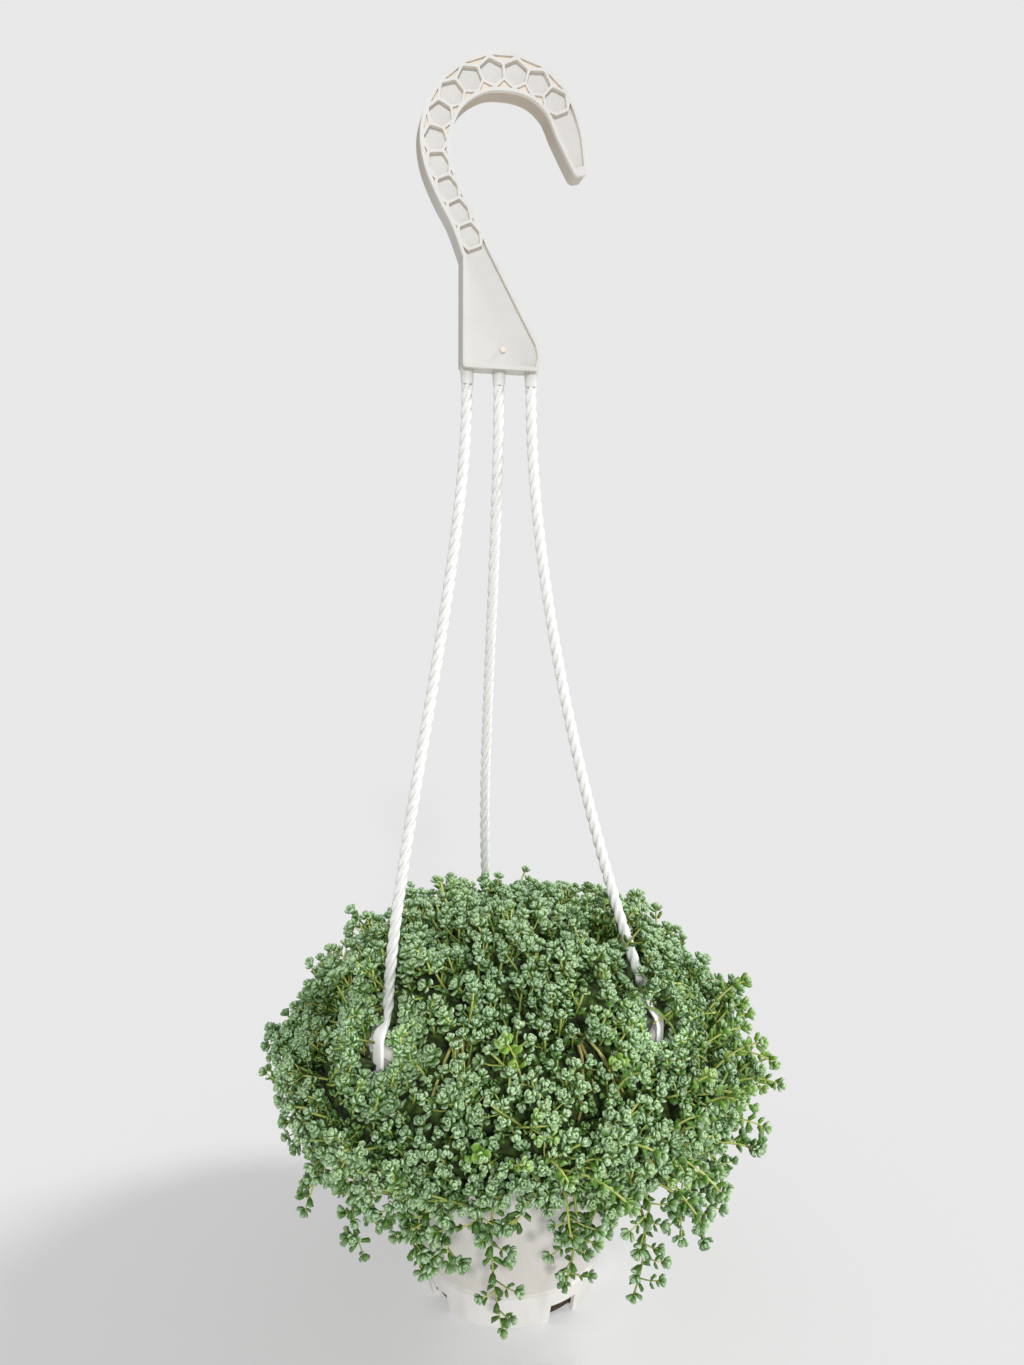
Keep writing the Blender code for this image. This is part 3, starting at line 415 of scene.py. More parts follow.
hookSettings = {
    "stations": ((34.4, 560.0, 3.5), (31.8, 568.0, 5.3), (28.4, 578.1, 7.1), (22.5, 591.0, 7.7),
                 (12.1, 600.2, 8.7), (-2.0, 603.1, 9.1), (-17.0, 600.1, 8.6), (-30.4, 589.3, 7.8),
                 (-37.1, 573.9, 7.5), (-37.0, 559.9, 6.8), (-31.5, 545.7, 6.6), (-24.3, 532.1, 6.3),
                 (-17.9, 518.0, 7.2)),
    "steps": 110, "depth": 12.0, "webFront": -3.6, "webBack": -1.6, "gapFloor": 4.9, "flange": 1.7,
    "tipWall": 2.4, "rib": 0.55, "cellPitch": 11.7, "cells": 12, "firstCell": 35.0,
    "plateLeft": -24.8, "plateRight": 14.4, "plateBase": 463.4,
    "plateShoulder": (13.4, 476.5), "plateCorner": 2.2, "nub": (-4.6, 473.0), "nubRadius": 1.75,
    "nubLength": 2.4, "sleeves": (-21.6, -5.6, 10.7), "sleeveTop": 3.3, "sleeveEnd": 2.9, "sleeveLength": 7.0,
    "bore": 2.2, "pinLength": 6.0, "softEdge": 0.28, "pocketRound": 0.8, "gapRound": 0.4, "leastGap": 1.0}


def smoothRows(rows, perSpan):
    points = []
    last = len(rows) - 1
    for i in range(last):
        a, b, c, d = (Vector(rows[k]) for k in (max(i - 1, 0), i, i + 1, min(i + 2, last)))
        for k in range(perSpan):
            t = k / perSpan
            points.append(0.5 * ((2 * b) + (c - a) * t + (2 * a - 5 * b + 4 * c - d) * t * t
                                 + (3 * b - a - 3 * c + d) * t ** 3))
    return points + [Vector(rows[-1])]


armRows = smoothRows(hookSettings["stations"], 24)
armAt = [0.0]
for a, b in zip(armRows, armRows[1:]):
    armAt.append(armAt[-1] + math.hypot(b[0] - a[0], b[1] - a[1]))


def armStation(s):
    s = min(max(s, 0.0), armAt[-1] - 1e-6)
    i = max(k for k, value in enumerate(armAt) if value <= s)
    return armRows[i].lerp(armRows[i + 1], (s - armAt[i]) / (armAt[i + 1] - armAt[i]))


def armPoint(s, across):
    # across is positive on the outer side of the hook's bend
    here, before, after = armStation(s), armStation(s - 1.5), armStation(s + 1.5)
    along = Vector((after[0] - before[0], after[1] - before[1])).normalized()
    return Vector((here[0] + along.y * across, here[1] - along.x * across))


def arcPoints(centre, radius, start, end, steps):
    angles = [math.radians(start + (end - start) * i / steps) for i in range(steps + 1)]
    return [Vector(centre) + radius * Vector((math.cos(a), math.sin(a))) for a in angles]


def raiseOutline(points, lowY, highY):
    # a flat outline in the XZ plane, extruded from lowY to highY
    item = addDisc(len(points), 0.01, "NGON")
    for vertex, point in zip(item.data.vertices, points):
        vertex.co = Vector((point.x, lowY, point.y)) * mm
    startEdit(item)
    bpy.ops.mesh.extrude_region_move(TRANSFORM_OT_translate={"value": (0.0, (highY - lowY) * mm, 0.0)})
    endEdit()
    return item


def roundCorners(points, radius):
    # the outline of a pocket with its corners rounded
    made = []
    count, steps = len(points), 3
    for i in range(count):
        a, b, c = points[i - 1], points[i], points[(i + 1) % count]
        cut = min(radius, (a - b).length * 0.45, (c - b).length * 0.45)
        first = b + (a - b).normalized() * cut
        last = b + (c - b).normalized() * cut
        for k in range(steps + 1):
            t = k / steps
            made.append(first * (1 - t) ** 2 + b * (2 * t * (1 - t)) + last * t ** 2)
    return made


def pocketOutlines():
    h = hookSettings
    pitch, rib, flange = h["cellPitch"], h["rib"], h["flange"]
    cells = [h["firstCell"] + pitch * i for i in range(h["cells"])]
    outlines, gaps = [], []
    side = pitch / math.sqrt(3.0) - rib * 1.15
    half = pitch / 2 - rib
    near = [(-half, -side / 2), (-half, side / 2), (0.0, side)]
    for centre in cells:
        points = []
        for u, v in near + [(-u, -v) for u, v in near]:
            room = armStation(centre + u)[2] - flange
            points.append(armPoint(centre + u, max(-room, min(room, v))))
        outlines.append(roundCorners(points, h["pocketRound"]))
    apex = pitch / math.sqrt(3.0) / 2 + rib * 1.2
    for centre in cells[1:]:
        wall = centre - pitch / 2
        room = armStation(wall)[2] - flange
        wide = min((room - apex) / 0.577, pitch / 2 - 2 * rib)
        if wide >= h["leastGap"]:
            for sign in (1.0, -1.0):
                gaps.append(roundCorners([armPoint(wall, sign * apex), armPoint(wall + wide, sign * room),
                                          armPoint(wall - wide, sign * room)], h["gapRound"]))
    # the long pocket at the tip
    reach = cells[0] - pitch / 2 - rib
    wall = h["tipWall"]
    stops = [wall + (reach + 2.6 - wall) * i / 12 for i in range(13)]
    outlines.append([armPoint(s, armStation(s)[2] - flange) for s in stops]
                    + [armPoint(reach, 3.3), armPoint(reach, -3.3)]
                    + [armPoint(s, flange - armStation(s)[2]) for s in stops[::-1]])
    # the pocket of the plate, up to the last cell
    last, half = cells[-1], pitch / 2 + rib
    cornerAt = half / math.sqrt(3.0)
    room = armStation(last + half)[2] - flange
    rise = last + half * (2 * cornerAt - room) / cornerAt
    endRoom = armStation(armAt[-1])[2] - flange
    base, left, right = h["plateBase"], h["plateLeft"], h["plateRight"]
    shoulder = Vector(h["plateShoulder"])
    outlines.append([armPoint(last + half, cornerAt), armPoint(rise, room), armPoint(armAt[-1], endRoom)]
                    + arcPoints((left + flange + 1.5, base + flange + 1.5), 1.5, 180, 270, 5)
                    + [Vector((right - flange - 1.4, base + flange)),
                       Vector((right - flange, base + flange + 5.0)),
                       shoulder - Vector((flange * 1.15, 0.6)), armPoint(armAt[-1], -endRoom),
                       armPoint(rise, -room), armPoint(last + half, -cornerAt)])
    return outlines, gaps


def makeSleeve(x):
    h = hookSettings
    top, low = h["plateBase"] + h["flange"] / 2, h["plateBase"] - h["sleeveLength"]
    end, bore = h["sleeveEnd"], h["bore"]
    rows = [(h["sleeveTop"], top), (h["sleeveTop"], h["plateBase"]), (end + 0.1, low + 0.5),
            (end - 0.2, low), (bore + 0.15, low), (bore, low + 0.2), (bore, low + h["pinLength"] + 0.3)]
    sleeve = raiseWalls(rows, 32)
    sleeve.location.x = x * mm
    return settle(sleeve)


def markOutside(item, outline):
    # an attribute that is 1 on the outline's own sides and 0 in the pockets; it marks where the hanger
    # material paints shade on the outer sides
    rows = []
    for first, second in zip(outline, outline[1:] + outline[:1]):
        steps = max(1, int((second - first).length / 0.3))
        rows += [first.lerp(second, i / steps) for i in range(steps)]
    tree = KDTree(len(rows))
    for i, row in enumerate(rows):
        tree.insert((row.x * mm, 0.0, row.y * mm), i)
    tree.balance()
    near = [tree.find((v.co.x, 0.0, v.co.z))[2] < 0.5 * mm for v in item.data.vertices]
    setAttribute(item.data, "outside", [float(value) for value in near])


def makeHook(material):
    h = hookSettings
    length = armAt[-1]
    stops = [length * i / h["steps"] for i in range(h["steps"] + 1)]
    outer = [armPoint(s, armStation(s)[2]) for s in stops]
    inner = [armPoint(s, -armStation(s)[2]) for s in stops]
    tip = armPoint(0.0, 0.0) + Vector((0.8, -1.6))
    c = h["plateCorner"]
    left = arcPoints((h["plateLeft"] + c, h["plateBase"] + c), c, 180, 270, 6)
    right = arcPoints((h["plateRight"] - c - 0.6, h["plateBase"] + c), c, 270, 350, 6)
    shoulder = [Vector((h["plateRight"], h["plateShoulder"][1] - 5.0)), Vector(h["plateShoulder"])]
    tipCurve = [(inner[0] + tip) / 2 + Vector((-0.5, -0.6)), tip, (outer[0] + tip) / 2 + Vector((0.5, -0.5))]
    outline = tipCurve + outer + left + right + shoulder + inner[::-1]
    body = raiseOutline(outline, -h["depth"] / 2, h["depth"] / 2)
    body.name = "hook_body"
    cutters = []
    pockets, gaps = pocketOutlines()
    for rows, front, back in ((pockets, h["webFront"], h["webBack"]), (gaps, -h["gapFloor"], h["webBack"])):
        for outlinePoints in rows:
            cutters.append(raiseOutline(outlinePoints, -h["depth"], front))
            cutters.append(raiseOutline(outlinePoints, back, h["depth"]))
    cutAway(body, cutters)
    applyModifier(body, "BEVEL", width=h["softEdge"] * mm, segments=2, limit_method="ANGLE",
                  angle_limit=math.radians(38), use_clamp_overlap=True)
    bpy.ops.object.select_all(action="DESELECT")
    bpy.ops.mesh.primitive_cone_add(vertices=28, radius1=h["nubRadius"] * mm,
                                    radius2=h["nubRadius"] * 0.75 * mm, depth=h["nubLength"] * mm,
                                    rotation=(math.pi / 2, 0.0, 0.0),
                                    location=(h["nub"][0] * mm, (h["webFront"] - 0.2) * mm, h["nub"][1] * mm))
    nub = settle(bpy.context.object)
    joinAll([body, nub] + [makeSleeve(x) for x in h["sleeves"]], "hook_body")  # each sinks into the plate
    smoothByAngle(body, 42)
    applyModifier(body, "WEIGHTED_NORMAL", keep_sharp=True)
    markOutside(body, outline)
    finishPiece(body, material, "hanger_hook")
    print("hook, faces:", len(body.data.polygons))


# legs: a lobed section swept down each leg with a twist, then the strap over the rim

# bows: how far a leg's curve drops at its top, and leans in, rises and moves sideways at its foot
# strap: radius and height of each section, then half its width and half its thickness

legSettings = {"radius": 2.8, "pitch": 26.0, "lobes": 4, "lobeDepth": 0.46, "sectionPoints": 32,
               "step": 1.0, "pathSteps": 1200, "end": (73.4, 154.6), "pinRadius": 1.9, "gap": 0.05,
               "bows": ((87.0, 2.0, 71.0, 0.0), (95.0, 10.0, 70.0, 11.0), (125.0, 15.0, 32.0, 0.0)),
               "strap": ((74.0, 152.4, 1.3, 1.3), (75.6, 150.9, 3.0, 1.1), (77.4, 149.0, 4.1, 1.1),
                         (78.5, 145.8, 4.4, 1.1), (78.6, 141.0, 4.4, 1.1), (78.6, 130.0, 4.0, 1.1),
                         (78.1, 127.6, 3.2, 1.0), (76.0, 126.9, 2.8, 0.9), (70.0, 126.9, 2.6, 0.9),
                         (69.0, 128.6, 2.4, 0.7))}


def legCurve(index):
    s = legSettings
    drop, inward, up, sideways = s["bows"][index]
    azimuth = potSettings["clipAzimuths"][index]
    start = Vector((hookSettings["sleeves"][index], 0.0,
                    hookSettings["plateBase"] - hookSettings["sleeveLength"] - s["gap"]))
    end = polar(s["end"][0], azimuth, s["end"][1])
    out = Vector((end.x - start.x, end.y, 0.0)).normalized()
    side = Vector((-out.y, out.x, 0.0))
    return start, start - upwards * drop, end - out * inward + side * sideways + upwards * up, end


def sweep(sections, name):
    # a tube through sections with the same number of points: a disc, extruded section by section
    count = len(sections[0])
    tube = addDisc(count, 0.001, "NGON")
    tube.name = name
    startEdit(tube)
    bpy.ops.mesh.region_to_loop()
    for _ in sections[1:]:
        bpy.ops.mesh.extrude_edges_move()
    bpy.ops.mesh.edge_face_add()
    bpy.ops.object.mode_set(mode="OBJECT")
    for k, vertex in enumerate(tube.data.vertices):
        vertex.co = sections[k // count][k % count] * mm
    startEdit(tube)
    endEdit()
    return tube


def lobedSection(centre, side, across, radius, turn):
    s = legSettings
    points = []
    for k in range(s["sectionPoints"]):
        angle = 2 * math.pi * k / s["sectionPoints"]
        reach = radius * (1.0 - s["lobeDepth"] * (1.0 - abs(math.cos(s["lobes"] * (angle - turn) / 2))))
        points.append(centre + side * (reach * math.cos(angle)) + across * (reach * math.sin(angle)))
    return points


def flatSection(centre, side, across, halfSide, halfAcross):
    # a flat strap's section with rounded edges and a slightly crowned face
    points = []
    count = legSettings["sectionPoints"]
    for k in range(count):
        angle = 2 * math.pi * k / count
        c, s = math.cos(angle), math.sin(angle)
        u = math.copysign(abs(c) ** 0.5, c) * halfSide
        v = math.copysign(abs(s) ** 0.6, s) * halfAcross
        points.append(centre + side * u + across * v)
    return points


def makeLeg(index, material):
    s = legSettings
    azimuth = potSettings["clipAzimuths"][index]
    tangential = polar(1.0, azimuth + 90.0)
    control = legCurve(index)
    steps = s["pathSteps"]
    dense = [bezier(*control, i / steps) for i in range(steps + 1)]
    run = [0.0]
    for a, b in zip(dense, dense[1:]):
        run.append(run[-1] + (b - a).length)
    length = run[-1]
    count = round(length / s["step"])
    start = control[0]
    pin = ((5.9, s["pinRadius"] * 0.8), (5.2, s["pinRadius"]), (0.3, s["pinRadius"]))
    sections = [lobedSection(start + upwards * z, tangential, polar(1.0, azimuth), radius, 0.0)
                for z, radius in pin]
    k = 0
    for i in range(count + 1):
        at = length * i / count
        while k < steps and run[k] < at:
            k += 1
        along = (dense[min(k + 2, steps)] - dense[max(k - 2, 0)]).normalized()
        across = along.cross(tangential).normalized()
        side = across.cross(along).normalized()
        left = length - at
        radius = s["radius"] * min(1.0, 0.5 + left / 12.0) * (1.0 + 0.05 * max(0.0, 1.0 - at / 3.0))
        turn = math.pi / 4 - 2 * math.pi * left / s["pitch"]
        sections.append(lobedSection(dense[k], side, across, radius, turn))
    rows = smoothRows(s["strap"], 4)
    for i, (radius, z, halfWidth, halfThick) in enumerate(rows):
        before = rows[i - 1] if i else (*s["end"], 0.0, 0.0)
        after = rows[min(i + 1, len(rows) - 1)]
        along = (polar(after[0], azimuth, after[1]) - polar(before[0], azimuth, before[1])).normalized()
        across = along.cross(tangential).normalized()
        sections.append(flatSection(polar(radius, azimuth, z), tangential, across, halfWidth, halfThick))
    leg = sweep(sections, f"leg_{index + 1}")
    smoothByAngle(leg, 50)
    finishPiece(leg, material, f"hanger_leg_{index + 1}")
    print(f"leg {index + 1}")


# mound of foliage: the same form as the solids
# bands: how many sprigs, the azimuth where the first starts, and for the root stems the radius in the soil,
# the radius and height of two points on the way, and a turn to one side

moundSettings = {"radius": 125.0, "widestZ": 104.0, "rise": 98.0, "drop": 78.0, "bandArc": 48.0,
                 "bands": ((3, 85.5, 10.0, (10.0, 150.0), (20.0, 175.0), 0.0),
                           (6, 85.5, 26.0, (27.0, 160.0), (52.0, 165.0), 0.0),
                           (9, 85.5, 40.0, (42.0, 165.0), (76.0, 158.0), 0.0),
                           (9, 105.5, 51.0, (53.0, 174.0), (100.0, 168.0), -9.0),
                           (9, 85.5, 61.0, (63.0, 184.0), (98.0, 150.0), -13.0)),
                 "bareSector": 4}
lowestBand = len(moundSettings["bands"]) - 1


def swell(azimuth):
    a = math.radians(azimuth)
    return 1.0 + 0.02 * math.sin(2 * a + 0.7) + 0.018 * math.sin(3 * a + 2.1) + 0.012 * math.sin(5 * a)


def moundSection(theta):
    m = moundSettings
    t = math.radians(theta)
    height = m["rise"] if theta < 90.0 else m["drop"]
    return m["radius"] * math.sin(t), m["widestZ"] + height * math.cos(t)


moundArcs = [0.0]
for degree in range(1, 175):
    a, b = moundSection(degree - 1.0), moundSection(float(degree))
    moundArcs.append(moundArcs[-1] + math.hypot(b[0] - a[0], b[1] - a[1]))


def moundPoint(arc, azimuth):
    i = max(k for k, value in enumerate(moundArcs) if value <= arc)
    theta = i + (arc - moundArcs[i]) / (moundArcs[i + 1] - moundArcs[i])
    radius, z = moundSection(theta)
    return polar(radius * swell(azimuth), azimuth, z)


def moundNormal(arc, azimuth):
    up = moundPoint(max(arc - 2.0, 0.01), azimuth) - moundPoint(arc + 2.0, azimuth)
    roundAbout = moundPoint(arc, azimuth + 1.0) - moundPoint(arc, azimuth - 1.0)
    return roundAbout.cross(up).normalized()


def ownerOf(arc, azimuth):
    band = min(int(arc // moundSettings["bandArc"]), lowestBand)
    sectors, first = moundSettings["bands"][band][:2]
    sector = int(((azimuth - first) % 360.0) * sectors / 360.0)
    return band, sector


# leaves and shoots: one leaf is shaped, a rosette is made of its copies, and a cluster of copied rosettes

leafSettings = {"length": 4.4, "width": 3.5, "thick": 2.3, "cup": 0.6}
chance = random.Random(5)


def setAttribute(mesh, name, values):
    attribute = mesh.attributes.get(name) or mesh.attributes.new(name, "FLOAT", "POINT")
    attribute.data.foreach_set("value", values)


def fill(item, **values):
    for name, value in values.items():
        setAttribute(item.data, name, [min(1.0, max(0.0, value))] * len(item.data.vertices))


def changeAttribute(item, name, share=1.0, shift=0.0):
    values = [0.0] * len(item.data.vertices)
    item.data.attributes[name].data.foreach_get("value", values)
    setAttribute(item.data, name, [min(1.0, max(0.0, value * share + shift)) for value in values])


def makeLeaf(name, sides):
    # a plump leaf along +X with its foot at the origin, hollowed a little on its upper side
    s = leafSettings
    bpy.ops.object.select_all(action="DESELECT")
    bpy.ops.mesh.primitive_uv_sphere_add(segments=sides, ring_count=3, radius=1.0,
                                         rotation=(0.0, math.pi / 2, 0.0))
    leaf = settle(bpy.context.object)
    leaf.name = name
    rims = []
    for vertex in leaf.data.vertices:
        x, y, z = vertex.co
        edge = min(1.0, abs(y) / math.sqrt(max(1.0 - x * x, 0.01)))
        t = 1.0 - (1.0 - (x + 1.0) / 2) ** 1.35
        broad = 0.46 + 0.62 * t ** 0.8
        # rim: highest at the tip and edges, where the leaf material puts its pale bloom and painted highlight
        rims.append(min(1.0, 0.15 * t + 0.8 * edge ** 1.5 * t + max(0.0, t - 0.9) * 9.0))
        lift = s["cup"] * (t * t + 0.35 * y * y * t)
        vertex.co = Vector((t * s["length"], y * broad * s["width"] / 2,
                            z * s["thick"] / 2 * (0.6 if z > 0.05 else 1.0) + lift * s["length"] * 0.3)) * mm
    setAttribute(leaf.data, "rim", rims)
    fill(leaf, inner=0.0, tone=0.5)
    smoothAll(leaf)
    leaf.data.materials.append(leafMaterial)
    return leaf


def copyOf(item, matrix):
    made = bpy.data.objects.new("copy", item.data.copy())
    bpy.context.scene.collection.objects.link(made)
    made.data.transform(matrix)
    return made


def makeStemTube(points, radii, sides):
    sections = []
    for i, point in enumerate(points):
        along = (points[min(i + 1, len(points) - 1)] - points[max(i - 1, 0)]).normalized()
        side = along.orthogonal().normalized() if i == 0 else (side - along * side.dot(along)).normalized()
        across = along.cross(side)
        angles = [2 * math.pi * k / sides for k in range(sides)]
        sections.append([point + (side * math.cos(a) + across * math.sin(a)) * radii[i] for a in angles])
    tube = sweep(sections, "stem")
    smoothAll(tube)
    fill(tube, rim=0.0, inner=0.0, tone=0.5)
    tube.data.materials.append(stemMaterial)
    return tube


def leafPlace(azimuth, spread, height, scale):
    # turns a leaf from flat along +X to its place round the shoot's axis
    return (Matrix.Translation((0.0, 0.0, height * mm)) @ Matrix.Rotation(math.radians(azimuth), 4, "Z")
            @ Matrix.Rotation(-math.radians(90.0 - spread), 4, "Y") @ Matrix.Scale(scale, 4))


def stand(point, direction, turn, size=1.0):
    # takes an upright shoot from the origin to its place: a point, an axis, a turn about it and a size
    aim = direction.to_track_quat("Z", "Y").to_matrix().to_4x4() @ Matrix.Rotation(math.radians(turn), 4, "Z")
    return Matrix.Translation(point * mm) @ aim @ Matrix.Scale(size, 4)


# how far the outermost and the innermost leaves of a rosette stand open, in degrees from its axis
rosetteKinds = ({"leaves": 10, "open": 76, "close": 12, "size": 1.0},
                {"leaves": 9, "open": 66, "close": 9, "size": 1.03},
                {"leaves": 9, "open": 54, "close": 7, "size": 0.95},
                {"leaves": 10, "open": 84, "close": 18, "size": 1.07},
                {"leaves": 9, "open": 70, "close": 5, "size": 0.93})
plainKinds = ({"leaves": 6, "open": 72, "close": 14, "size": 1.0},
              {"leaves": 6, "open": 60, "close": 10, "size": 1.0})
rosetteSettings = {"turn": 137.5, "depth": 1.9, "shrink": 0.46, "largeLeaves": 5}
clusterSettings = {"join": 9.5, "reach": (6.0, 7.6), "height": (-4.8, -0.8), "tilt": (18.0, 42.0),
                   "size": (0.84, 1.08), "branch": 0.42, "stem": 0.56, "pairs": (-11.0, -16.0)}


def makeRosette(kind, outerLeaf):
    # leaves in a spiral, the inner ones smaller, higher and steeper
    s = rosetteSettings
    parts = []
    for i in range(kind["leaves"]):
        t = i / (kind["leaves"] - 1)
        spread = kind["open"] + (kind["close"] - kind["open"]) * t ** 0.85 + chance.uniform(-5, 5)
        place = leafPlace(s["turn"] * i + chance.uniform(-8, 8), spread, s["depth"] * (t - 1.0),
                          kind["size"] * (1.0 - s["shrink"] * t))
        part = copyOf(outerLeaf if i < s["largeLeaves"] else smallMaster, place)
        fill(part, inner=t)
        parts.append(part)
    return joinAll(parts, "rosette")


def leafPair(point, direction, turn, spread, size, rim=0.5, tone=-0.22):
    # two small leaves across a stem from each other, duller than those of a rosette
    parts = []
    for half in (0.0, 180.0):
        part = copyOf(smallMaster, stand(point, direction, turn) @ leafPlace(half, spread, 0.0, size))
        changeAttribute(part, "rim", rim)
        changeAttribute(part, "tone", 1.0, tone)
        parts.append(part)
    return parts


def makeCluster(count, stemLength, heads):
    # rosettes side by side on branches of one stem, with pairs of leaves lower down
    c = clusterSettings
    parts = []
    for i in range(count):
        turn = 360.0 * i / max(1, count - 1) + chance.uniform(-18, 18)
        tilt = math.radians(chance.uniform(*c["tilt"]))
        top, direction = polar(chance.uniform(*c["reach"]), turn, chance.uniform(*c["height"])), upwards
        if i == 0:
            top = Vector((0.0, 0.0, 0.0))
        else:
            direction = polar(math.sin(tilt), turn, math.cos(tilt))
            foot = top - direction * 1.4
            join = Vector((0.0, 0.0, -c["join"] - 0.7 * i))
            middle = foot.lerp(join, 0.5) + polar(1.1, turn)
            parts.append(makeStemTube([foot, middle, join], [c["branch"] * r for r in (0.9, 1.0, 1.1)], 3))
            if chance.random() < 0.5:
                parts += leafPair(middle, direction, chance.uniform(0, 180), 62.0, 0.8)
        rosette = copyOf(heads[chance.randrange(len(heads))],
                         stand(top, direction, chance.uniform(0, 360), chance.uniform(*c["size"])))
        changeAttribute(rosette, "tone", 1.0, chance.uniform(-0.15, 0.15))
        parts.append(rosette)
    bend = polar(chance.uniform(0.4, 2.4), chance.uniform(0, 360))
    path = [Vector((0.0, 0.0, -1.2 - (stemLength - 1.2) * t)) + bend * t * t for t in (0.0, 0.4, 1.0)]
    parts.append(makeStemTube(path, [c["stem"] * r for r in (0.85, 1.0, 1.2)], 4))
    heights = ((-5.8,) if count == 1 else ()) + c["pairs"]
    for i, height in enumerate(heights):
        if height > -stemLength:
            parts += leafPair(upwards * height, upwards, 90.0 * i + chance.uniform(-20, 20),
                              chance.uniform(52, 78), chance.uniform(0.85, 1.15))
    return joinAll(parts, "cluster")


print("helpers")

addCamera()
hangerMaterial = hangerPlastic()
potMaterial = potPlastic()
leafMaterial = leafSkin()
stemMaterial = stemSkin()
coreMaterial = understoreyShadeSkin()
makePot(potMaterial)
makeSoil(soilGrain())
makeHook(hangerMaterial)
for legIndex in range(3):
    makeLeg(legIndex, hangerMaterial)


# sprigs: clusters, the understorey behind them as a sheet in painted dark shade, trailing shoots and the
# stems to the soil

sprigSettings = {
    "pitch": 13.2, "jitter": 0.36, "bottomArc": 232.0, "size": (0.88, 1.08), "lean": 0.30, "light": 0.28,
    "lift": (-8.0, 1.0), "humps": 2.4, "humpWidth": 27.0, "crownLift": 3.0, "crown": (70.0, 110.0),
    "tuftShare": 0.13, "tuftLift": (5.0, 10.0), "singleFrom": 186.0, "singleStep": 4.6,
    "singleLift": (-3.5, 2.0), "fillers": 0.84, "fillerLift": (-16.0, -8.0),
    "fillerStep": (4.0, 8.0), "fillerSide": 6.5, "fillerSize": 0.95,
    "warmAzimuth": 305.0, "warmTone": 0.18, "brightShare": 0.07, "thinFrom": 178.0, "thinShare": 0.45,
    "looseShare": 0.2, "looseLift": (-11.0, -5.0), "drawFrom": 150.0, "drawFull": 200.0,
    "drawIn": (21.0, 8.0, 190.0)}
bareSector = (lowestBand, moundSettings["bareSector"])  # no sprig hangs there, and the pot shows


def humps(point):
    # low swellings all over the mound, where shoots stand higher
    w = sprigSettings["humpWidth"]
    x, y, z = point.x / w, point.y / w, point.z / w
    return (math.sin(2.1 * x + 1.3 * y + 0.4) * math.cos(1.9 * z - 0.8 * y + 1.1)
            + 0.7 * math.sin(3.3 * y - 2.2 * z + 2.0) * math.cos(2.7 * x + 0.6))


def easeShare(value, low, high):
    t = min(1.0, max(0.0, (value - low) / (high - low)))
    return t * t * (3.0 - 2.0 * t)


def drawnIn(arc, azimuth):
    # how far the shaggy lower part of the foliage stands back from the mound's form, most on one side
    s = sprigSettings
    mean, change, most = s["drawIn"]
    reach = mean + change * math.cos(math.radians(azimuth - most))
    return reach * easeShare(arc, s["drawFrom"], s["drawFull"])


# how clear the legs and straps stay of the leaves: each pair is the room by a leg and by a strap

sightSettings = {"clear": (6.6, 9.8), "softClear": (6.6, 18.0), "wideClear": (6.6, 30.0),
                 "near": (17.0, 17.0), "coreClear": (4.5, 11.0), "rootClear": (5.0, 24.0),
                 "looseClear": (9.0, 14.0), "softShare": 0.6, "wideShare": 0.35, "step": 2.0,
                 "deepest": 40.0, "sight": 80.0,
                 "strapFace": 79.5, "lastSeen": (60, 32, 54),
                 "strapHeights": ((152, 149, 146, 143, 140), (150, 146), (150, 147))}


def visibleLegPoints():
    # points on the legs and straps, the way to the eye from each, and how far along it nothing may stand
    g = sightSettings
    points = []
    for index, azimuth in enumerate(potSettings["clipAzimuths"]):
        rows = [(bezier(*legCurve(index), i / 60), g["sight"] if i <= g["lastSeen"][index] else 0.0, False)
                for i in range(33, 61)]
        rows += [(polar(g["strapFace"], azimuth, z), 0.0 if index == 1 else g["sight"], True)
                 for z in g["strapHeights"][index]]
        points += [(point, (eye - point).normalized(), reach, onStrap) for point, reach, onStrap in rows]
    return points


legSight = visibleLegPoints()


def blocksLeg(point, clear):
    # true where a leaf here would touch a leg, or stand between a front leg and the eye
    for seen, towardsEye, reach, onStrap in legSight:
        gap = clear[1] if onStrap else clear[0]
        offset = point - seen
        along = offset.dot(towardsEye)
        if -gap < along < max(reach, gap) and (offset - towardsEye * along).length < gap:
            return True
    return False


def inwardMove(point, normal, clear):
    # how far inwards along the normal a leaf has to go to leave the legs and straps in sight
    moved = 0.0
    while moved < sightSettings["deepest"] and blocksLeg(point - normal * moved, clear):
        moved += sightSettings["step"]
    return moved


def randomLean():
    return Vector((rng.gauss(0, 1), rng.gauss(0, 1), rng.gauss(0, 1))) * sprigSettings["lean"]


def placeOne(bySprig, at, azimuth, lift, group, size):
    # one cluster or single shoot, moved in where it would hide a leg
    s, g = sprigSettings, sightSettings
    owner = ownerOf(at, azimuth)
    normal = moundNormal(at, azimuth)
    point = moundPoint(at, azimuth) + normal * (lift - drawnIn(at, azimuth))
    warm = s["warmTone"] * math.cos(math.radians(azimuth - s["warmAzimuth"])) * easeShare(at, 90.0, 170.0)
    tone = min(0.9, max(0.0, 0.45 + warm + 0.15 * humps(point) + rng.uniform(-0.2, 0.2)))
    if rng.random() < s["brightShare"] and warm > 0.0 and group != "cluster":
        tone = 1.0
    lean = randomLean()
    turn, pick = rng.uniform(0, 360), rng.randrange(60)
    if owner == bareSector:
        return
    hard, soft, wide = (inwardMove(point, normal, g[clear]) for clear in ("clear", "softClear", "wideClear"))
    if hard >= g["deepest"]:
        return
    moved = max(hard, g["softShare"] * soft, g["wideShare"] * wide)
    if blocksLeg(point - normal * moved, g["clear"]):
        moved = hard
    if moved > 0.0:
        group = "short"
    direction = (normal + upwards * s["light"] + lean).normalized()
    bySprig.setdefault(owner, []).append((point - normal * moved, direction, turn, size, tone, group, pick))


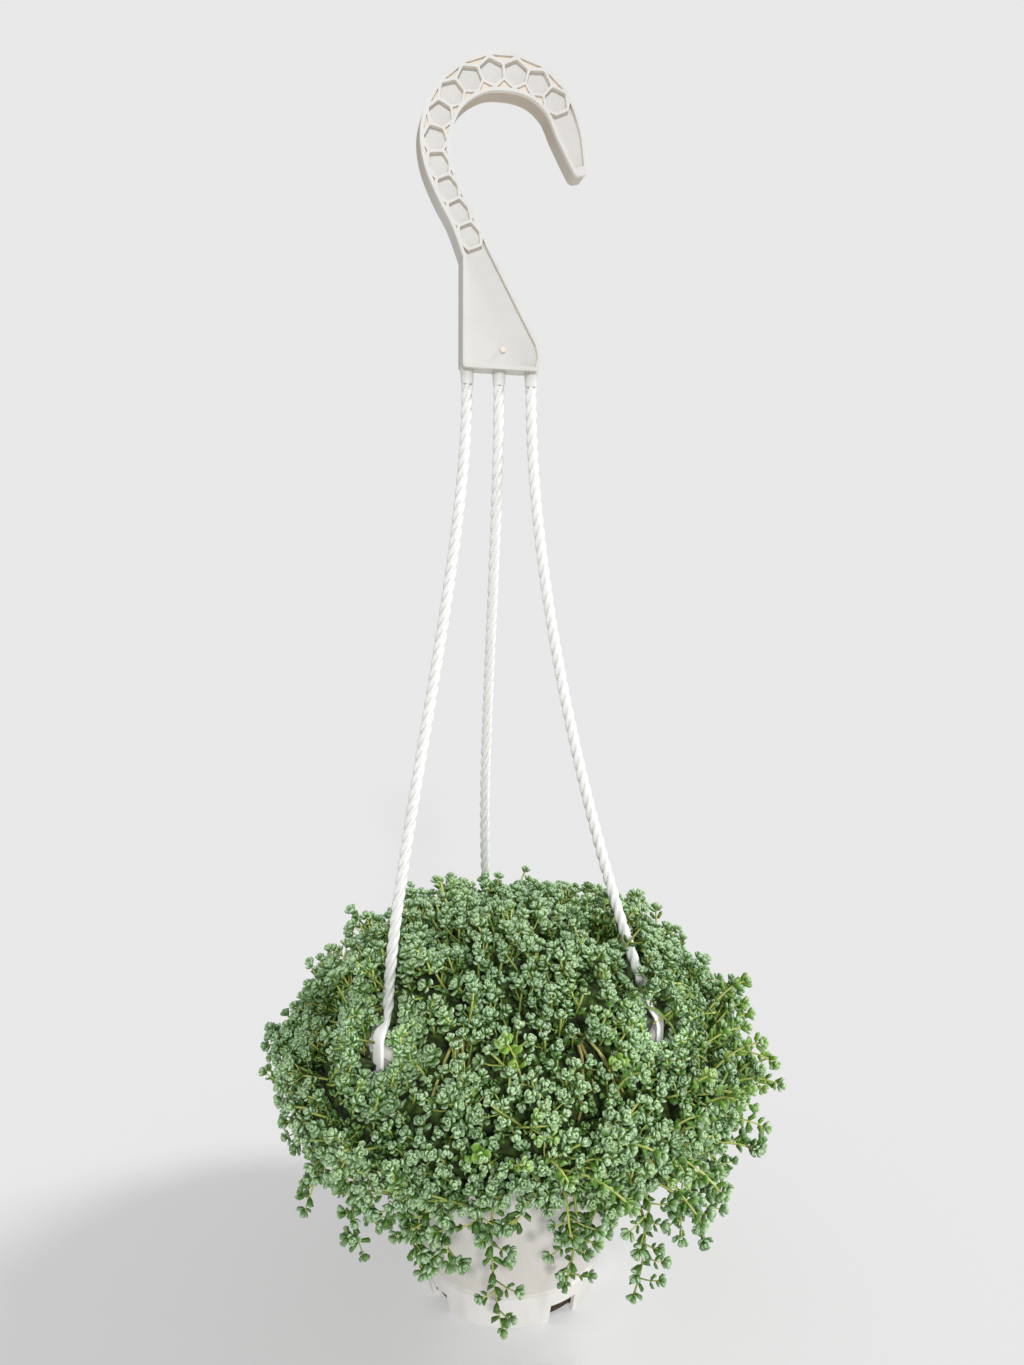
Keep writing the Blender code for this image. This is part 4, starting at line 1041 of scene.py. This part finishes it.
def placeShoots():
    # places in staggered rows over the mound, by sprig: clusters, with single shoots by the legs and low down
    s = sprigSettings
    bySprig = {}
    rowStep = s["pitch"] * math.sqrt(3.0) / 2
    arc = 4.0
    while arc < s["bottomArc"]:
        radius = moundPoint(arc, 0.0).xy.length
        count = max(3, round(2 * math.pi * radius / s["pitch"]))
        phase = rng.uniform(0.0, 360.0)
        degrees = math.degrees(1.0 / radius)
        for i in range(count):
            azimuth = (phase + 360.0 * (i + rng.uniform(-s["jitter"], s["jitter"])) / count) % 360.0
            at = min(max(arc + rowStep * rng.uniform(-s["jitter"], s["jitter"]), 0.5), s["bottomArc"])
            point = moundPoint(at, azimuth)
            lift = (s["humps"] * humps(point) + rng.uniform(*s["lift"])
                    + s["crownLift"] * (1.0 - easeShare(at, *s["crown"])))
            skip, tuft, size = rng.random(), rng.random(), rng.uniform(*s["size"])
            loose = (s["looseShare"] * max(0.0, math.cos(math.radians(azimuth - s["warmAzimuth"]))) ** 2
                     * easeShare(at, 110.0, 150.0))
            if skip < max(loose, s["thinShare"] * (at - s["thinFrom"]) / (s["bottomArc"] - s["thinFrom"])):
                placeOne(bySprig, at, azimuth, rng.uniform(*s["looseLift"]), "filler", size)
                if skip < loose:
                    placeOne(bySprig, at + 6.0, azimuth + 5.0 * degrees, rng.uniform(*s["looseLift"]),
                             "filler", size)
                continue
            if tuft < s["tuftShare"]:
                placeOne(bySprig, at, azimuth, lift + rng.uniform(*s["tuftLift"]),
                         "single" if tuft < 0.6 * s["tuftShare"] else "cluster", size)
            byLeg = inwardMove(point, moundNormal(at, azimuth), sightSettings["near"])
            if byLeg > 0.0 or at > s["singleFrom"]:
                for k in range(3):
                    turn = math.radians(120.0 * k + rng.uniform(-30, 30))
                    placeOne(bySprig, min(max(at + s["singleStep"] * math.cos(turn), 0.5), s["bottomArc"]),
                             azimuth + s["singleStep"] * math.sin(turn) * degrees,
                             lift + rng.uniform(*s["singleLift"]), "short" if byLeg > 0.0 else "single", size)
            else:
                placeOne(bySprig, at, azimuth, lift, "cluster", size)
                if rng.random() < s["fillers"]:
                    placeOne(bySprig, min(at + rng.uniform(*s["fillerStep"]), s["bottomArc"]),
                             azimuth + s["fillerSide"] * degrees, rng.uniform(*s["fillerLift"]), "filler",
                             size * s["fillerSize"])
        arc += rowStep
    lineClips(bySprig)
    return bySprig


liningSettings = {"clips": (0, 2), "tries": 2000, "gap": 5.4, "heights": (130.0, 156.0),
                  "round": (9.0, 19.0), "along": (-26.0, 46.0), "lowest": 120.0, "inForm": 0.97,
                  "size": (0.8, 1.05), "tone": (0.3, 0.8)}


def lineClips(bySprig):
    # single shoots all round the open way to each front strap, so that leaves stand close about it
    s, m, p = liningSettings, moundSettings, potSettings
    clear = sightSettings["clear"]
    for index in s["clips"]:
        azimuth = p["clipAzimuths"][index]
        made = []
        for _ in range(s["tries"]):
            seen = polar(sightSettings["strapFace"], azimuth, rng.uniform(*s["heights"]))
            towardsEye = (eye - seen).normalized()
            side = towardsEye.cross(upwards).normalized()
            up = side.cross(towardsEye)
            turn, reach = rng.uniform(0.0, 2 * math.pi), rng.uniform(*s["round"])
            around = side * math.cos(turn) + up * math.sin(turn)
            point = seen + towardsEye * rng.uniform(*s["along"]) + around * reach
            radius = point.xy.length
            azimuthHere = math.degrees(math.atan2(point.y, point.x)) % 360.0
            rise = (point.z - m["widestZ"]) / m["rise"]
            inForm = math.hypot(radius / (m["radius"] * swell(azimuthHere)), rise)
            byLip = p["lipRadius"] - 8.0 < radius < p["lipRadius"] + 5.0 and point.z < p["height"] + 5.0
            if inForm > s["inForm"] or point.z < s["lowest"] or byLip:
                continue
            if any((point - other).length < s["gap"] for other in made) or blocksLeg(point, clear):
                continue
            made.append(point)
            theta = math.degrees(math.atan2(radius / m["radius"], rise))
            direction = (towardsEye * 0.5 + up * 0.6 - around * 0.5 + randomLean()).normalized()
            bySprig.setdefault(ownerOf(moundArcs[int(theta)], azimuthHere), []).append(
                (point, direction, rng.uniform(0, 360), rng.uniform(*s["size"]), rng.uniform(*s["tone"]),
                 "short", rng.randrange(60)))


# the understorey behind a sprig's leaves and the bare stems under it

coreSettings = {"depth": 24.0, "thick": 2.5, "end": 208.0, "drawShare": 0.6, "deepest": 8.0, "offPot": 4.0}


def makeCorePatch(band, sector):
    # a curved slab that the stems come out of, in painted dark shade
    s, m = coreSettings, moundSettings
    sectors, first = m["bands"][band][:2]
    width = 360.0 / sectors
    across, down = max(3, round(width / 6.0)), 8
    bpy.ops.object.select_all(action="DESELECT")
    bpy.ops.mesh.primitive_grid_add(x_subdivisions=across, y_subdivisions=down, size=2.0)
    patch = bpy.context.object
    arcTop = m["bandArc"] * band
    arcLow = min(m["bandArc"] * (band + 1), s["end"])
    hidden = set()
    for vertex in patch.data.vertices:
        u, v = (vertex.co.x + 1.0) / 2, (1.0 - vertex.co.y) / 2
        azimuth = first + width * (sector + u)
        arc = max(0.6, arcTop + (arcLow - arcTop) * v)
        normal = moundNormal(arc, azimuth)
        ripple = 1.6 * math.sin(azimuth * 0.9 + arc * 0.31)
        depth = s["depth"] + s["drawShare"] * drawnIn(arc, azimuth) + ripple
        point = moundPoint(arc, azimuth) - normal * depth
        moved = inwardMove(point, normal, sightSettings["coreClear"])
        if moved > 0.0:
            hidden.add(vertex.index)
        point = point - normal * min(moved, s["deepest"])
        lipReach = (potSettings["lipRadius"] if point.z > 134.0 else bowlRadius(point.z)) + s["offPot"]
        if point.z < potSettings["height"] and point.xy.length < lipReach:
            point.xy = point.xy.normalized() * lipReach
        vertex.co = point * mm
    bpy.ops.object.mode_set(mode="EDIT")
    bpy.ops.mesh.select_all(action="DESELECT")
    bpy.ops.object.mode_set(mode="OBJECT")
    for polygon in patch.data.polygons:
        polygon.select = sum(index in hidden for index in polygon.vertices) >= 3
    if any(polygon.select for polygon in patch.data.polygons):
        bpy.ops.object.mode_set(mode="EDIT")
        bpy.ops.mesh.select_mode(type="FACE")
        bpy.ops.mesh.delete(type="FACE")
        bpy.ops.object.mode_set(mode="OBJECT")
    applyModifier(patch, "SOLIDIFY", thickness=s["thick"] * mm, offset=0.0)
    startEdit(patch)
    bpy.ops.mesh.remove_doubles(threshold=0.00001)
    endEdit()
    smoothAll(patch)
    fill(patch, rim=0.0, inner=0.0, tone=0.0)
    patch.data.materials.append(coreMaterial)
    return patch


# a root stem ends at each of these shares across and down its sprig, but none hides a leg
rootSettings = {"ends": ((0.2, 0.3), (0.4, 0.75), (0.6, 0.25), (0.8, 0.7)), "loose": 1.2, "sunk": 6.0,
                "tone": (0.4, 1.0), "radius": 1.0, "taper": 0.45}


def makeRootStems(band, sector):
    # bare stems from the sprig's hole in the soil up and out to its understorey
    m, s, r = moundSettings, coreSettings, rootSettings
    sectors, first, rootRadius, low, high, swing = m["bands"][band]
    width = 360.0 / sectors
    middle = first + width * (sector + 0.5)
    stems, paths = [], []
    for i, (acrossShare, downShare) in enumerate(r["ends"]):
        azimuth = first + width * (sector + acrossShare)
        arc = m["bandArc"] * (band + downShare * (0.6 if band == lowestBand else 1.0))
        normal = moundNormal(arc, azimuth)
        end = moundPoint(arc, azimuth) - normal * (s["depth"] + 1.0 + s["drawShare"] * drawnIn(arc, azimuth))
        root = polar(rootRadius, middle + swing)
        root += Vector((rng.uniform(-r["loose"], r["loose"]), rng.uniform(-r["loose"], r["loose"]), 0.0))
        root.z = soilHeight(root) - r["sunk"]
        lower, upper = polar(low[0], middle + swing, low[1]), polar(high[0], middle + swing * 0.5, high[1])
        path = [bezier(root, lower, upper, end, t / 9) for t in range(10)]
        blocked = sum(blocksLeg(point, sightSettings["rootClear"]) for point in path)
        paths.append((blocked, i, path, rng.uniform(*r["tone"]), rng.uniform(*r["tone"])))
    paths.sort()
    for blocked, _, path, tone, rim in paths:
        if blocked and stems:  # each sprig keeps its clearest stem at least
            continue
        stem = makeStemTube(path, [r["radius"] - r["taper"] * t / 9 for t in range(10)], 5)
        fill(stem, tone=0.0 if blocked else tone, rim=0.0 if blocked else rim)
        stems.append(stem)
    return stems


# each kind of group: the rosettes in each of its clusters, the length of the stem, and the rosettes to copy
leafMaster = makeLeaf("leaf_master", 5)
smallMaster = makeLeaf("small_leaf_master", 4)
rosettes = [makeRosette(kind, leafMaster) for kind in rosetteKinds]
plainRosettes = [makeRosette(kind, smallMaster) for kind in plainKinds]
groups = {"cluster": ((4, 3, 5, 4, 2, 4, 3, 5, 6, 3), 23.0, rosettes),
          "single": ((1, 1, 2, 1), 19.0, rosettes), "filler": ((2, 1), 12.0, plainRosettes),
          "short": ((1, 1), 7.0, rosettes)}
clusters = {name: [makeCluster(count, length, heads) for count in counts]
            for name, (counts, length, heads) in groups.items()}
print("clusters")


# trailing shoots: azimuth, radius and height of the tip, as in the solids

trailSettings = {
    "tips": ((254.0, 97.0, 31.0), (273.0, 93.0, 47.0), (229.0, 99.0, 50.0), (201.0, 99.0, 40.0),
             (296.0, 97.0, 33.0), (315.0, 112.0, 56.0), (340.0, 135.0, 74.0), (182.0, 120.0, 50.0),
             (150.0, 111.0, 44.0), (104.0, 110.0, 47.0), (62.0, 112.0, 43.0), (20.0, 120.0, 50.0)),
    "radius": 0.6, "pairStep": 7.5, "leaf": 1.1, "branches": 6, "branchLength": (6.0, 15.0),
    "branchRadii": (0.45, 0.4, 0.36), "head": (0.95, 1.25), "tone": (-0.35, 0.1),
    "runnerStep": 10.0, "runnerArc": (198.0, 228.0), "runnerDrop": (10.0, 32.0), "runnerOut": (-2.0, 7.0),
    "frontArc": (184.0, 191.0), "frontDrop": (8.0, 22.0), "looseCount": 44, "looseArc": (112.0, 214.0),
    "looseLength": (18.0, 35.0), "looseSpread": 26.0, "looseRadius": 0.62, "looseTone": (0.05, 0.42),
    "looseHead": (0.95, 1.15)}


def makeHead(point, direction, sizes):
    # a rosette at the end of a shoot
    return copyOf(rng.choice(rosettes), stand(point, direction, rng.uniform(0, 360), rng.uniform(*sizes)))


def makeTrail(start, azimuth, tip, branches):
    # a trailing stem with pairs of leaves, short side branches and a rosette at each end
    s = trailSettings
    parts = []
    out = polar(1.0, azimuth)
    bend = start.lerp(tip, 0.5) + out * rng.uniform(4.0, 8.0) + polar(rng.uniform(-4.0, 4.0), azimuth + 90.0)
    curve = (start, start.lerp(bend, 0.3) + out * 6.0, bend, tip)
    path = [start - out * 14.0 + upwards * 4.0] + [bezier(*curve, t / 10) for t in range(11)]
    stem = makeStemTube(path, [s["radius"] * (1.25 - 0.5 * t / 11) for t in range(12)], 4)
    fill(stem, tone=rng.uniform(0.25, 0.8))
    parts.append(stem)
    run = sum((b - a).length for a, b in zip(path[1:], path[2:]))
    pairs = max(2, int(run / s["pairStep"]))
    for i in range(pairs):
        t = (i + 0.8) / (pairs + 0.6)
        point = bezier(*curve, t)
        along = (bezier(*curve, min(t + 0.03, 1.0)) - point).normalized()
        parts += leafPair(point, along, 90.0 * (i % 2) + rng.uniform(-20, 20), rng.uniform(50, 80),
                          s["leaf"] * rng.uniform(0.85, 1.25), 0.4, rng.uniform(-0.4, -0.1))
    ends = [(tip, (tip - path[-2]).normalized())]
    for i in range(branches):
        t = 0.25 + 0.65 * (i + rng.uniform(0.2, 0.8)) / branches
        point = bezier(*curve, t)
        along = (bezier(*curve, min(t + 0.03, 1.0)) - point).normalized()
        side = (along * 0.5 + out * rng.uniform(0.1, 0.9) + polar(rng.choice((-1.0, 1.0)), azimuth + 90.0)
                + upwards * rng.uniform(-0.2, 0.5)).normalized()
        end = point + side * rng.uniform(*s["branchLength"])
        middle = point.lerp(end, 0.5) - upwards * 0.8
        branch = makeStemTube([point, middle, end], s["branchRadii"], 3)
        fill(branch, tone=rng.uniform(0.3, 0.8))
        parts.append(branch)
        parts += leafPair(middle, side, rng.uniform(0, 180), 62.0, 0.9, 0.4, -0.2)
        ends.append((end, side))
    for point, direction in ends:
        parts.append(makeHead(point, direction, s["head"]))
        changeAttribute(parts[-1], "tone", 1.0, rng.uniform(*s["tone"]))
    return parts


def trailsOf(band, sector):
    # the start, azimuth, tip and branches of each trailing shoot of a sprig
    t = trailSettings
    sectors, first = moundSettings["bands"][band][:2]
    width = 360.0 / sectors
    lowFirst, lowWidth = moundSettings["bands"][lowestBand][1], 360.0 / moundSettings["bands"][lowestBand][0]
    bareFrom = lowFirst + lowWidth * bareSector[1]
    chosen = []
    for azimuth, tipRadius, tipZ in t["tips"]:
        overBare = (azimuth - bareFrom) % 360.0 < lowWidth
        outside = (azimuth - first - width * sector) % 360.0 >= width
        if outside or band != (lowestBand - 1 if overBare else lowestBand):
            continue
        arc = moundSettings["bandArc"] * (band + 1) - 5.0
        if band == lowestBand:
            arc = sprigSettings["bottomArc"] - 12.0
        tipRadius -= 0.5 * drawnIn(arc, azimuth)
        for i in range(1 + int(azimuth) % 2):
            at = azimuth + (0.0, 6.0)[i]
            start = moundPoint(arc - 8.0 * i, at) - moundNormal(arc - 8.0 * i, at) * (4.0 + drawnIn(arc, at))
            chosen.append((start, at, polar(tipRadius - 3.0 * i, at, tipZ + 17.0 * i), t["branches"] - 2 * i))
    if band >= lowestBand - 1:
        for k in range(int(width / t["runnerStep"])):
            azimuth = first + width * sector + t["runnerStep"] * (k + rng.uniform(0.2, 0.8))
            if band < lowestBand and (azimuth - bareFrom) % 360.0 >= lowWidth:
                continue
            arc, drops = rng.uniform(*t["runnerArc"]), t["runnerDrop"]
            if band < lowestBand:
                arc, drops = rng.uniform(*t["frontArc"]), t["frontDrop"]
            start = moundPoint(arc, azimuth) - moundNormal(arc, azimuth) * (3.0 + drawnIn(arc, azimuth))
            tip = start + polar(rng.uniform(*t["runnerOut"]), azimuth) - upwards * rng.uniform(*drops)
            tip += polar(rng.uniform(-8.0, 8.0), azimuth + 90.0)
            chosen.append((start, azimuth, tip, 2))
    return chosen


def makeLooseShoot(start, direction, length):
    # a long bare-stemmed shoot that leans out of the cover, with pairs of leaves and a rosette at its end
    s = trailSettings
    parts = []
    end = start + direction * length
    lift = upwards * (0.16 * length)
    curve = (start, start.lerp(end, 0.35) + lift, start.lerp(end, 0.7) + lift, end)
    path = [bezier(*curve, t / 6) for t in range(7)]
    stem = makeStemTube(path, [s["looseRadius"] - 0.2 * t / 6 for t in range(7)], 4)
    fill(stem, tone=rng.uniform(0.6, 1.0))
    parts.append(stem)
    tone = rng.uniform(*s["looseTone"])
    pairs = int(length / 6.0)
    for i in range(pairs):
        t = (i + 1.2) / (pairs + 1.0)
        along = (bezier(*curve, min(t + 0.05, 1.0)) - bezier(*curve, t - 0.05)).normalized()
        parts += leafPair(bezier(*curve, t), along, 90.0 * (i % 2) + rng.uniform(-25, 25),
                          rng.uniform(48, 76), rng.uniform(1.0, 1.35), 0.35, tone)
    parts.append(makeHead(end, (end - path[-2]).normalized(), s["looseHead"]))
    changeAttribute(parts[-1], "tone", 1.0, tone)
    return parts


def placeLooseShoots():
    # most of them low on the side that has the loosest cover
    t = trailSettings
    bySprig = {}
    for k in range(t["looseCount"]):
        azimuth = (sprigSettings["warmAzimuth"] + rng.gauss(0.0, t["looseSpread"]) if k % 4
                   else rng.uniform(0.0, 360.0)) % 360.0
        arc = rng.uniform(*t["looseArc"])
        owner = ownerOf(arc, azimuth)
        if owner == bareSector:
            continue
        normal = moundNormal(arc, azimuth)
        start = moundPoint(arc, azimuth) - normal * (12.0 + drawnIn(arc, azimuth))
        length = rng.uniform(*t["looseLength"])
        direction = (normal * rng.uniform(0.5, 1.1) + polar(rng.uniform(-0.7, 0.7), azimuth + 90.0)
                     + upwards * rng.uniform(-0.5, 0.6)).normalized()
        clear = sightSettings["looseClear"]
        if any(blocksLeg(start + direction * length * share, clear) for share in (0.3, 0.6, 1.0)):
            continue
        bySprig.setdefault(owner, []).append((start, direction, length))
    return bySprig


def makeSprig(band, sector, rows):
    node = f"sprig_{band + 1}_{sector + 1}"
    parts = []
    for point, direction, turn, size, tone, group, pick in rows:
        kinds = clusters[group]
        part = copyOf(kinds[pick % len(kinds)], stand(point, direction, turn, size))
        changeAttribute(part, "tone", 0.5 if tone == 1.0 else 1.0, tone - 0.5 if tone < 1.0 else 0.7)
        if group == "filler":
            changeAttribute(part, "rim", 0.6)
            changeAttribute(part, "tone", 0.5)
        parts.append(part)
    for start, azimuth, tip, branches in trailsOf(band, sector):
        parts += makeTrail(start, azimuth, tip, branches)
    for start, direction, length in looseRows.get((band, sector), []):
        parts += makeLooseShoot(start, direction, length)
    parts += makeRootStems(band, sector)
    if moundSettings["bandArc"] * band < coreSettings["end"] - 4.0:
        parts.append(makeCorePatch(band, sector))
    whole = joinAll(parts, "shoots_" + node[6:])
    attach(whole, "root")
    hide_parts(node)
    return sum(len(polygon.vertices) - 2 for polygon in whole.data.polygons)


shootRows = placeShoots()
looseRows = placeLooseShoots()
print("places:", sum(len(rows) for rows in shootRows.values()))
counts = []
for band, row in enumerate(moundSettings["bands"]):
    for sector in range(row[0]):
        if (band, sector) != bareSector:
            counts.append(makeSprig(band, sector, shootRows.get((band, sector), [])))
for item in [leafMaster, smallMaster] + rosettes + plainRosettes + sum(clusters.values(), []):
    bpy.data.objects.remove(item, do_unlink=True)
print("sprigs, triangles:", sum(counts), "most in one:", max(counts))


# floor, light and world

stageSettings = {
    "floorSize": 60.0, "floorShade": 0.462, "floorGlow": 0.32, "backdrop": 0.812, "skyLight": 0.40,
    "suns": ({"name": "sun", "from": (0.76, 0.05, 0.65), "strength": 2.2, "softness": 14.0},
             {"name": "front_light", "from": (0.123, -0.912, 0.392), "strength": 1.7, "softness": 5.0}),
    "clipLamp": {"clips": (0, 2), "aimZ": 145.0, "reach": 17.0, "power": 9.0, "size": 0.006}}
white = (1.0, 1.0, 1.0, 1.0)


def makeFloor():
    bpy.ops.object.select_all(action="DESELECT")
    bpy.ops.mesh.primitive_plane_add(size=stageSettings["floorSize"])
    floor = bpy.context.object
    floor.name = "floor"
    n = Nodes("pale_floor")
    n.fixed({"Base Color": (*([stageSettings["floorShade"]] * 3), 1.0), "Roughness": 1.0,
             "Specular IOR Level": 0.0, "Emission Color": white,
             "Emission Strength": stageSettings["floorGlow"]})
    floor.data.materials.append(n.material)


def addSun(s):
    towardsSun = Matrix.Rotation(math.radians(cameraSettings["turn"]), 3, "Z") @ Vector(s["from"])
    bpy.ops.object.light_add(type="SUN", location=towardsSun * 3.0)
    sun = bpy.context.object
    sun.name = s["name"]
    sun.data.energy = s["strength"]
    sun.data.angle = math.radians(s["softness"])
    sun.rotation_euler = towardsSun.to_track_quat("Z", "Y").to_euler()


def addClipLamp(index):
    # a narrow lamp beside the eye, for a strap that lies deep between the leaves
    s = stageSettings["clipLamp"]
    strap = polar(sightSettings["strapFace"], potSettings["clipAzimuths"][index], s["aimZ"])
    bpy.ops.object.light_add(type="SPOT", location=eye * mm)
    lamp = bpy.context.object
    lamp.name = f"clip_lamp_{index + 1}"
    lamp.data.energy = s["power"]
    lamp.data.shadow_soft_size = s["size"]
    lamp.data.spot_size = 2 * math.atan(s["reach"] / (strap - eye).length)
    lamp.data.spot_blend = 1.0
    lamp.rotation_euler = (eye - strap).to_track_quat("Z", "Y").to_euler()


def addWorld():
    # even light from all sides, and the same pale shade as the floor behind the object
    world = bpy.data.worlds.new("studio")
    world.use_nodes = True
    nodes, links = world.node_tree.nodes, world.node_tree.links
    light, seen = nodes["Background"], nodes.new("ShaderNodeBackground")
    rays, mix = nodes.new("ShaderNodeLightPath"), nodes.new("ShaderNodeMixShader")
    for background, strength in ((light, "skyLight"), (seen, "backdrop")):
        background.inputs["Strength"].default_value = stageSettings[strength]
        background.inputs["Color"].default_value = white
    links.new(rays.outputs["Is Camera Ray"], mix.inputs[0])
    links.new(light.outputs[0], mix.inputs[1])
    links.new(seen.outputs[0], mix.inputs[2])
    links.new(mix.outputs[0], nodes["World Output"].inputs["Surface"])
    bpy.context.scene.world = world


makeFloor()
for sunSettings in stageSettings["suns"]:
    addSun(sunSettings)
for clip in stageSettings["clipLamp"]["clips"]:
    addClipLamp(clip)
addWorld()
bpy.context.scene.view_settings.view_transform = "Standard"
print("stage")
